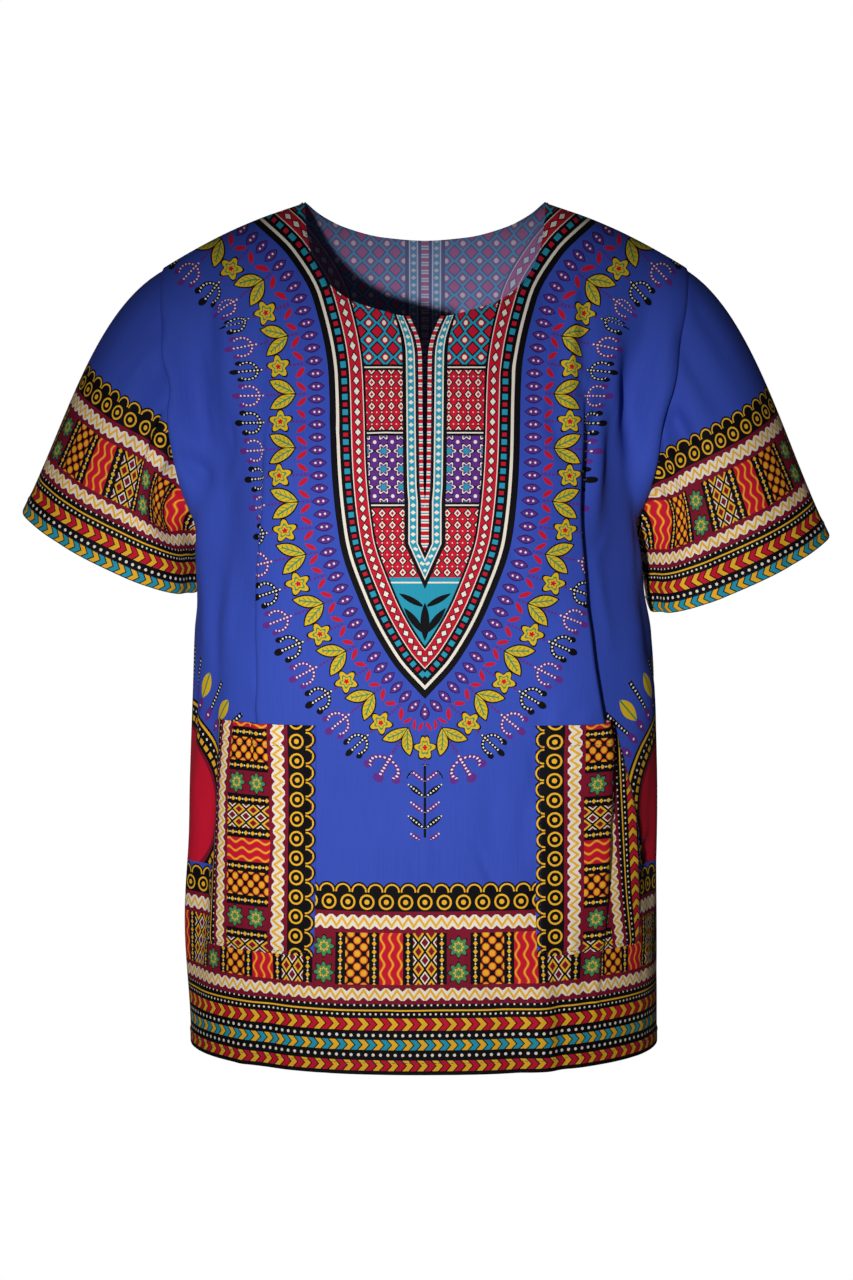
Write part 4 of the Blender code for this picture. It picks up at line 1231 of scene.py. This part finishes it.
def build_pocket(name, side, materials):
    """A patch pocket, which lies on the front's own surface, moved out, with its mouth a little open."""
    wide, high = POCKET_CELLS
    column, down = np.meshgrid(
        np.linspace(POCKET_INNER, POCKET_OUTER, wide + 1) * side,
        np.linspace(POCKET_TOP_DOWN, POCKET_BOTTOM_DOWN, high + 1),
    )
    if side == LEFT:
        column = column[:, ::-1]
    surface = panel(column, down, FRONT)
    normal = grid_normals(surface, FRONT)
    across, base = panel_base(column, down, FRONT)
    u = np.linspace(0.0, 1.0, wide + 1)[None, :]
    v = np.linspace(0.0, 1.0, high + 1)[:, None]
    bulge = np.sin(np.pi * u) ** 1.5 * np.exp(-((v / 0.22) ** 2)) * POCKET_MOUTH
    edge = np.minimum(np.minimum(u, 1.0 - u) * wide, (1.0 - v) * high)
    seat = POCKET_LIFT + (SEAM_GAP + 0.0004) * soft_step(edge / 1.5)
    inner = surface + normal * (seat + bulge)[..., None]
    outer = inner + normal * (SHELL * (0.45 + 0.55 * soft_step(edge / 1.5)))[..., None]
    GRIDS[name] = Grid(v[:, 0], u[0], outer, normal)
    maps = print_maps(across, base, FRONT)
    inward = np.abs(maps["Border"][..., 0]) - abs(arc(np.array(POCKET_INNER * side), FRONT))
    inward = inward + np.abs(tucked(across, base[..., 2], FRONT))
    maps["Border"] = np.stack([base[..., 2] - POCKET_BOTTOM_Z, POCKET_BORDER_TOP - inward], axis=-1)
    zones = np.full((high, wide), BORDER)
    return add_shell(name, outer, inner, np.arange(column.size), -1, True, zones, maps, materials)


def build_sleeve(name, cuff, materials):
    """A sleeve: a tube whose first row is tucked in under the edge of the armhole."""
    turn, along = np.meshgrid(
        np.linspace(0.0, 1.0, SLEEVE_CELLS + 1),
        np.concatenate([[0.0], np.linspace(0.0, 1.0, SLEEVE_LENGTH_CELLS + 1)]),
    )
    outer = waved_sleeve(turn, along, cuff)
    tuck = sleeve(turn[0], along[0] + 0.03, cuff) - sleeve(turn[0], along[0], cuff)
    normal = grid_normals(outer[1:], cuff.side, wrapped=True)
    normal = np.concatenate([normal[:1], normal])
    outer[0] = outer[1] - unit(tuck) * 0.003 - normal[0] * 0.0012
    outer[:, -1] = outer[:, 0]
    lengths = np.linalg.norm(np.diff(outer, axis=0), axis=-1)
    to_cuff = np.concatenate([np.cumsum(lengths[::-1], axis=0)[::-1], 0.0 * lengths[:1]])
    raised = HEM_RAISE * (1.0 - soft_step((to_cuff - HEM_TURN + 0.001) / 0.003))
    outer = outer + normal * raised[..., None]
    inner = outer - normal * (SHELL + 1.5 * raised)[..., None]
    girth = np.concatenate([[0.0], np.cumsum(np.linalg.norm(np.diff(outer[-1], axis=0), axis=-1))])
    weld = np.arange(turn.size).reshape(turn.shape)
    weld[:, -1] = weld[:, 0]
    GRIDS[name] = Grid(along[1:, 0], turn[0], outer[1:], normal[1:])
    maps = sleeve_maps(girth[None, :] + 0.0 * to_cuff, to_cuff)
    zones = sleeve_zones(to_cuff)
    return add_shell(name, outer, inner, weld.ravel(), -1, cuff.side < 0.0, zones, maps, materials)


def sleeve_maps(girth, to_cuff):
    """Where each point of a sleeve lies in the print: the border runs round the cuff."""
    return {
        "Weave": np.stack([girth, to_cuff], axis=-1),
        "Border": np.stack([girth, to_cuff + SLEEVE_BORDER_LOW], axis=-1),
    }


def sleeve_zones(to_cuff):
    return np.where(cell_middles(to_cuff) + SLEEVE_BORDER_LOW < BORDER_TOP, BORDER, PLAIN)


def plain(name, colour, roughness=0.9):
    material = bpy.data.materials.new(name)
    material.use_nodes = True
    shader = material.node_tree.nodes["Principled BSDF"]
    shader.inputs["Base Color"].default_value = (*colour, 1.0)
    shader.inputs["Roughness"].default_value = roughness
    return material


cloth = [cotton(f"{name}_print", draw, False) for name, draw in zip(PRINT_NAMES, PRINTS)]
cloth += [cotton(f"{name}_wrong_side", draw, True) for name, draw in zip(PRINT_NAMES, PRINTS)]
pieces = {
    "front": build_panel("front_cloth", FRONT, FRONT_CELLS, cloth),
    "back": build_panel("back_cloth", BACK, BACK_CELLS, cloth),
    "sleeve_left": build_sleeve("sleeve_left_cloth", CUFFS[0], cloth),
    "sleeve_right": build_sleeve("sleeve_right_cloth", CUFFS[1], cloth),
    "pocket_left": build_pocket("pocket_left_cloth", LEFT, cloth),
    "pocket_right": build_pocket("pocket_right_cloth", RIGHT, cloth),
}
for node, piece in pieces.items():
    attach(piece, "root")
    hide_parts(node)


# Stitches

STITCH_LENGTH = 0.0026
STITCH_PITCH = 0.0035
STITCH_HALF = 0.00030
STITCH_SINK = 0.00010
STITCH_RISE = 0.00012
RING = 4
PANEL_DROP = UNDERARM_Z - HEM_Z
HEM_LINE = 2.0 - 0.0100 / PANEL_DROP
NECK_EDGE = 0.415
SLIT_EDGE = 0.0165
THREAD = (0.012, 0.014, 0.055)


def on_grid(name, row, column):
    """Points of a shell's outer skin, and the normals there, at any rows and columns."""
    grid = GRIDS[name]
    row, column = np.broadcast_arrays(np.asarray(row, float), np.asarray(column, float))
    i = np.clip(np.searchsorted(grid.rows, row, side="right") - 1, 0, len(grid.rows) - 2)
    j = np.clip(np.searchsorted(grid.columns, column, side="right") - 1, 0, len(grid.columns) - 2)
    t = ((row - grid.rows[i]) / (grid.rows[i + 1] - grid.rows[i]))[..., None]
    s = ((column - grid.columns[j]) / (grid.columns[j + 1] - grid.columns[j]))[..., None]
    return [
        (a[i, j] * (1 - s) + a[i, j + 1] * s) * (1 - t) + (a[i + 1, j] * (1 - s) + a[i + 1, j + 1] * s) * t
        for a in (grid.outer, grid.normal)
    ]


def stitch_runs():
    """The lines of stitches: along the hem, cuffs, pockets, neckline and slit."""
    level = np.linspace(-0.985, 0.985, 700)
    runs = [on_grid(name, HEM_LINE, level) for name in ("front_cloth", "back_cloth")]
    for name in ("sleeve_left_cloth", "sleeve_right_cloth"):
        turn = np.linspace(0.0, 1.0, 400)
        last = on_grid(name, 1.0, turn)[0] - on_grid(name, 0.98, turn)[0]
        along = 1.0 - 0.0100 * 0.02 / np.linalg.norm(last, axis=-1)
        runs.append(on_grid(name, along, turn))
    for name in ("pocket_left_cloth", "pocket_right_cloth"):
        side = np.linspace(0.004, 0.985, 200)
        foot = np.linspace(0.030, 0.970, 120)
        runs += [on_grid(name, side, 0.030), on_grid(name, side, 0.970)]
        runs += [on_grid(name, 0.985, foot), on_grid(name, 0.090, foot)]
    for name in ("front_cloth", "back_cloth"):
        for side in (LEFT, RIGHT):
            neck = np.linspace(0.022 if name == "front_cloth" else 0.001, NECK_EDGE, 160) * side
            runs.append(on_grid(name, 0.027 - 0.024 * np.abs(neck), neck))
    down = np.linspace(0.034, SLIT_DOWN + 0.010, 200)
    runs += [on_grid("front_cloth", down, side * SLIT_EDGE) for side in (LEFT, RIGHT)]
    foot = np.linspace(-SLIT_EDGE, SLIT_EDGE, 40)
    foot = foot[np.abs(foot) > 1e-6]
    runs += [on_grid("front_cloth", SLIT_DOWN + drop, foot) for drop in (0.012, 0.018)]
    return runs


def stitch_centres(points, normals):
    """Evenly spaced places along a run, with the run's direction and the cloth's normal at each."""
    travelled = np.concatenate([[0.0], np.cumsum(np.linalg.norm(np.diff(points, axis=0), axis=-1))])
    count = max(int(travelled[-1] / STITCH_PITCH), 1)
    at = (np.arange(count) + 0.5) * travelled[-1] / count

    def where(values, s):
        return np.stack([np.interp(s, travelled, values[:, k]) for k in range(3)], axis=-1)

    ahead = where(points, at + 0.3 * STITCH_LENGTH) - where(points, at - 0.3 * STITCH_LENGTH)
    return where(points, at), unit(ahead), unit(where(normals, at))


def build_stitches(name, runs, material):
    """All stitches as one mesh: each is a short thread with both ends sunk in the cloth."""
    centre, along, up = (np.concatenate(parts) for parts in zip(*(stitch_centres(*run) for run in runs)))
    aside = unit(np.cross(up, along))
    up = np.cross(along, aside)
    angle = (np.arange(RING) + 0.5) * 2.0 * math.pi / RING
    rings = [
        centre + end * 0.34 * STITCH_LENGTH * along + up * STITCH_RISE
        + STITCH_HALF * (aside * math.cos(a) + up * math.sin(a))
        for end in (-1.0, 1.0) for a in angle
    ]
    tips = [centre + end * 0.5 * STITCH_LENGTH * along - up * STITCH_SINK for end in (-1.0, 1.0)]
    points = np.stack(rings + tips, axis=1).reshape(-1, 3)
    each = 2 * RING + 2
    faces = []
    for k in range(RING):
        after = (k + 1) % RING
        faces.append((k, after, RING + after, RING + k))
        faces.append((after, k, 2 * RING))
        faces.append((RING + k, RING + after, 2 * RING + 1))
    mesh = bpy.data.meshes.new(name)
    all_faces = [tuple(first + v for v in face) for first in range(0, len(points), each) for face in faces]
    mesh.from_pydata(points.tolist(), [], all_faces)
    mesh.shade_smooth()
    mesh.materials.append(material)
    layer = mesh.uv_layers.new(name="OFBake")
    layer.data.foreach_set("uv", stitch_map(len(centre), faces).astype(np.float32).ravel())
    thing = bpy.data.objects.new(name, mesh)
    bpy.context.scene.collection.objects.link(thing)
    return thing


def stitch_map(count, faces):
    """A flat map with a small square for each face of each stitch."""
    wide = math.ceil(math.sqrt(count))
    corners = np.array([(0.1, 0.1), (0.9, 0.1), (0.9, 0.9), (0.1, 0.9)])
    cell = np.concatenate([
        (np.array([number % RING, number // RING]) + corners[:len(face)]) / (RING, 3.0)
        for number, face in enumerate(faces)
    ])
    number = np.arange(count)
    start = np.stack([number % wide, number // wide], axis=-1)
    return (start[:, None, :] + cell[None]) / wide


def thread():
    """Dark cotton thread with a fine uneven twist."""
    material = plain("sewing_thread", THREAD, 0.75)
    tree = material.node_tree
    shader = tree.nodes["Principled BSDF"]
    place = tree.nodes.new("ShaderNodeTexCoord")
    twist = tree.nodes.new("ShaderNodeTexNoise")
    twist.inputs["Scale"].default_value = 3000.0
    tree.links.new(place.outputs["Object"], twist.inputs["Vector"])
    ramp = tree.nodes.new("ShaderNodeMix")
    ramp.data_type = "RGBA"
    ramp.inputs[6].default_value = (*THREAD, 1.0)
    ramp.inputs[7].default_value = (*(2.2 * part for part in THREAD), 1.0)
    tree.links.new(twist.outputs["Fac"], ramp.inputs[0])
    tree.links.new(ramp.outputs[2], shader.inputs["Base Color"])
    bump = tree.nodes.new("ShaderNodeBump")
    bump.inputs["Strength"].default_value = 0.4
    bump.inputs["Distance"].default_value = 0.0001
    tree.links.new(twist.outputs["Fac"], bump.inputs["Height"])
    tree.links.new(bump.outputs[0], shader.inputs["Normal"])
    return material


stitching = build_stitches("stitching", stitch_runs(), thread())
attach(stitching, "root")


# Camera, floor and light

CAMERA_PITCH = 4.448
CAMERA_LENS = 73.8
camera_data = bpy.data.cameras.new("camera")
camera_data.lens = CAMERA_LENS
camera_data.sensor_width = 36.0
camera = bpy.data.objects.new("camera", camera_data)
camera.location = (0.0013, -2.3, -0.200)
camera.rotation_euler = (math.radians(90.0 - CAMERA_PITCH), 0.0, 0.0)
bpy.context.scene.collection.objects.link(camera)
bpy.context.scene.camera = camera

# The floor lies where a standing wearer's feet would be, and fades out at its edge
FLOOR_Z = -1.45
FLOOR_RADIUS = 1.5
FLOOR_GLOW = 0.72
SIDES = 96


def build_floor():
    angle = np.linspace(0.0, 2.0 * math.pi, SIDES, endpoint=False)
    level = FLOOR_Z + 0.0 * angle
    rim = np.stack([np.cos(angle) * FLOOR_RADIUS, np.sin(angle) * FLOOR_RADIUS, level], axis=-1)
    mesh = bpy.data.meshes.new("floor")
    mesh.from_pydata(rim.tolist(), [], [tuple(range(SIDES))])
    material = plain("floor_pale", (0.86, 0.86, 0.86))
    tree = material.node_tree
    Value.tree = tree
    spot_node = tree.nodes.new("ShaderNodeTexCoord")
    split = tree.nodes.new("ShaderNodeSeparateXYZ")
    tree.links.new(spot_node.outputs["Object"], split.inputs[0])
    away = maths("SQRT", square(Value(split.outputs[0])) + square(Value(split.outputs[1])))
    fade = tree.nodes.new("ShaderNodeMapRange")
    fade.interpolation_type = "SMOOTHSTEP"
    for title, value in (("From Min", 0.25), ("From Max", 1.45), ("To Min", 1.0), ("To Max", 0.0)):
        fade.inputs[title].default_value = value
    tree.links.new(away.socket, fade.inputs["Value"])
    shader = tree.nodes["Principled BSDF"]
    tree.links.new(fade.outputs[0], shader.inputs["Alpha"])
    ray = tree.nodes.new("ShaderNodeLightPath")
    shader.inputs["Emission Color"].default_value = (FLOOR_GLOW, FLOOR_GLOW, FLOOR_GLOW, 1.0)
    tree.links.new(ray.outputs["Is Camera Ray"], shader.inputs["Emission Strength"])
    mesh.materials.append(material)
    floor = bpy.data.objects.new("floor", mesh)
    bpy.context.scene.collection.objects.link(floor)


def build_world(shown, cast):
    """A white backdrop, which lights the shirt softly from all round."""
    world = bpy.data.worlds.new("studio")
    world.use_nodes = True
    tree = world.node_tree
    ray = tree.nodes.new("ShaderNodeLightPath")
    strength = tree.nodes.new("ShaderNodeMapRange")
    strength.inputs["To Min"].default_value = cast
    strength.inputs["To Max"].default_value = shown
    tree.links.new(ray.outputs["Is Camera Ray"], strength.inputs["Value"])
    background = tree.nodes["Background"]
    background.inputs["Color"].default_value = (1.0, 1.0, 1.0, 1.0)
    tree.links.new(strength.outputs[0], background.inputs["Strength"])
    bpy.context.scene.world = world


# Round lamps with a soft edge: one in front, near the camera, and a weaker one behind
Lamp = namedtuple("Lamp", "name place aim radius cone power")
LAMPS = [
    Lamp("key", (-0.50, -2.40, -0.30), (0.015, 0.0, -0.41), 0.07, 25.5, 238.0),
    Lamp("back", (-0.50, 2.60, 0.00), (0.0, 0.0, -0.38), 0.30, 45.0, 185.0),
]


def build_lamps():
    for lamp in LAMPS:
        data = bpy.data.lights.new(lamp.name, "SPOT")
        data.shadow_soft_size = lamp.radius
        data.spot_size = math.radians(lamp.cone)
        data.spot_blend = 1.0
        data.energy = lamp.power
        thing = bpy.data.objects.new(lamp.name, data)
        thing.location = lamp.place
        aim = Vector(lamp.aim) - thing.location
        thing.rotation_euler = aim.to_track_quat("-Z", "Y").to_euler()
        bpy.context.scene.collection.objects.link(thing)


build_floor()
build_world(1.0, 0.055)
build_lamps()
bpy.context.scene.view_settings.view_transform = "Standard"
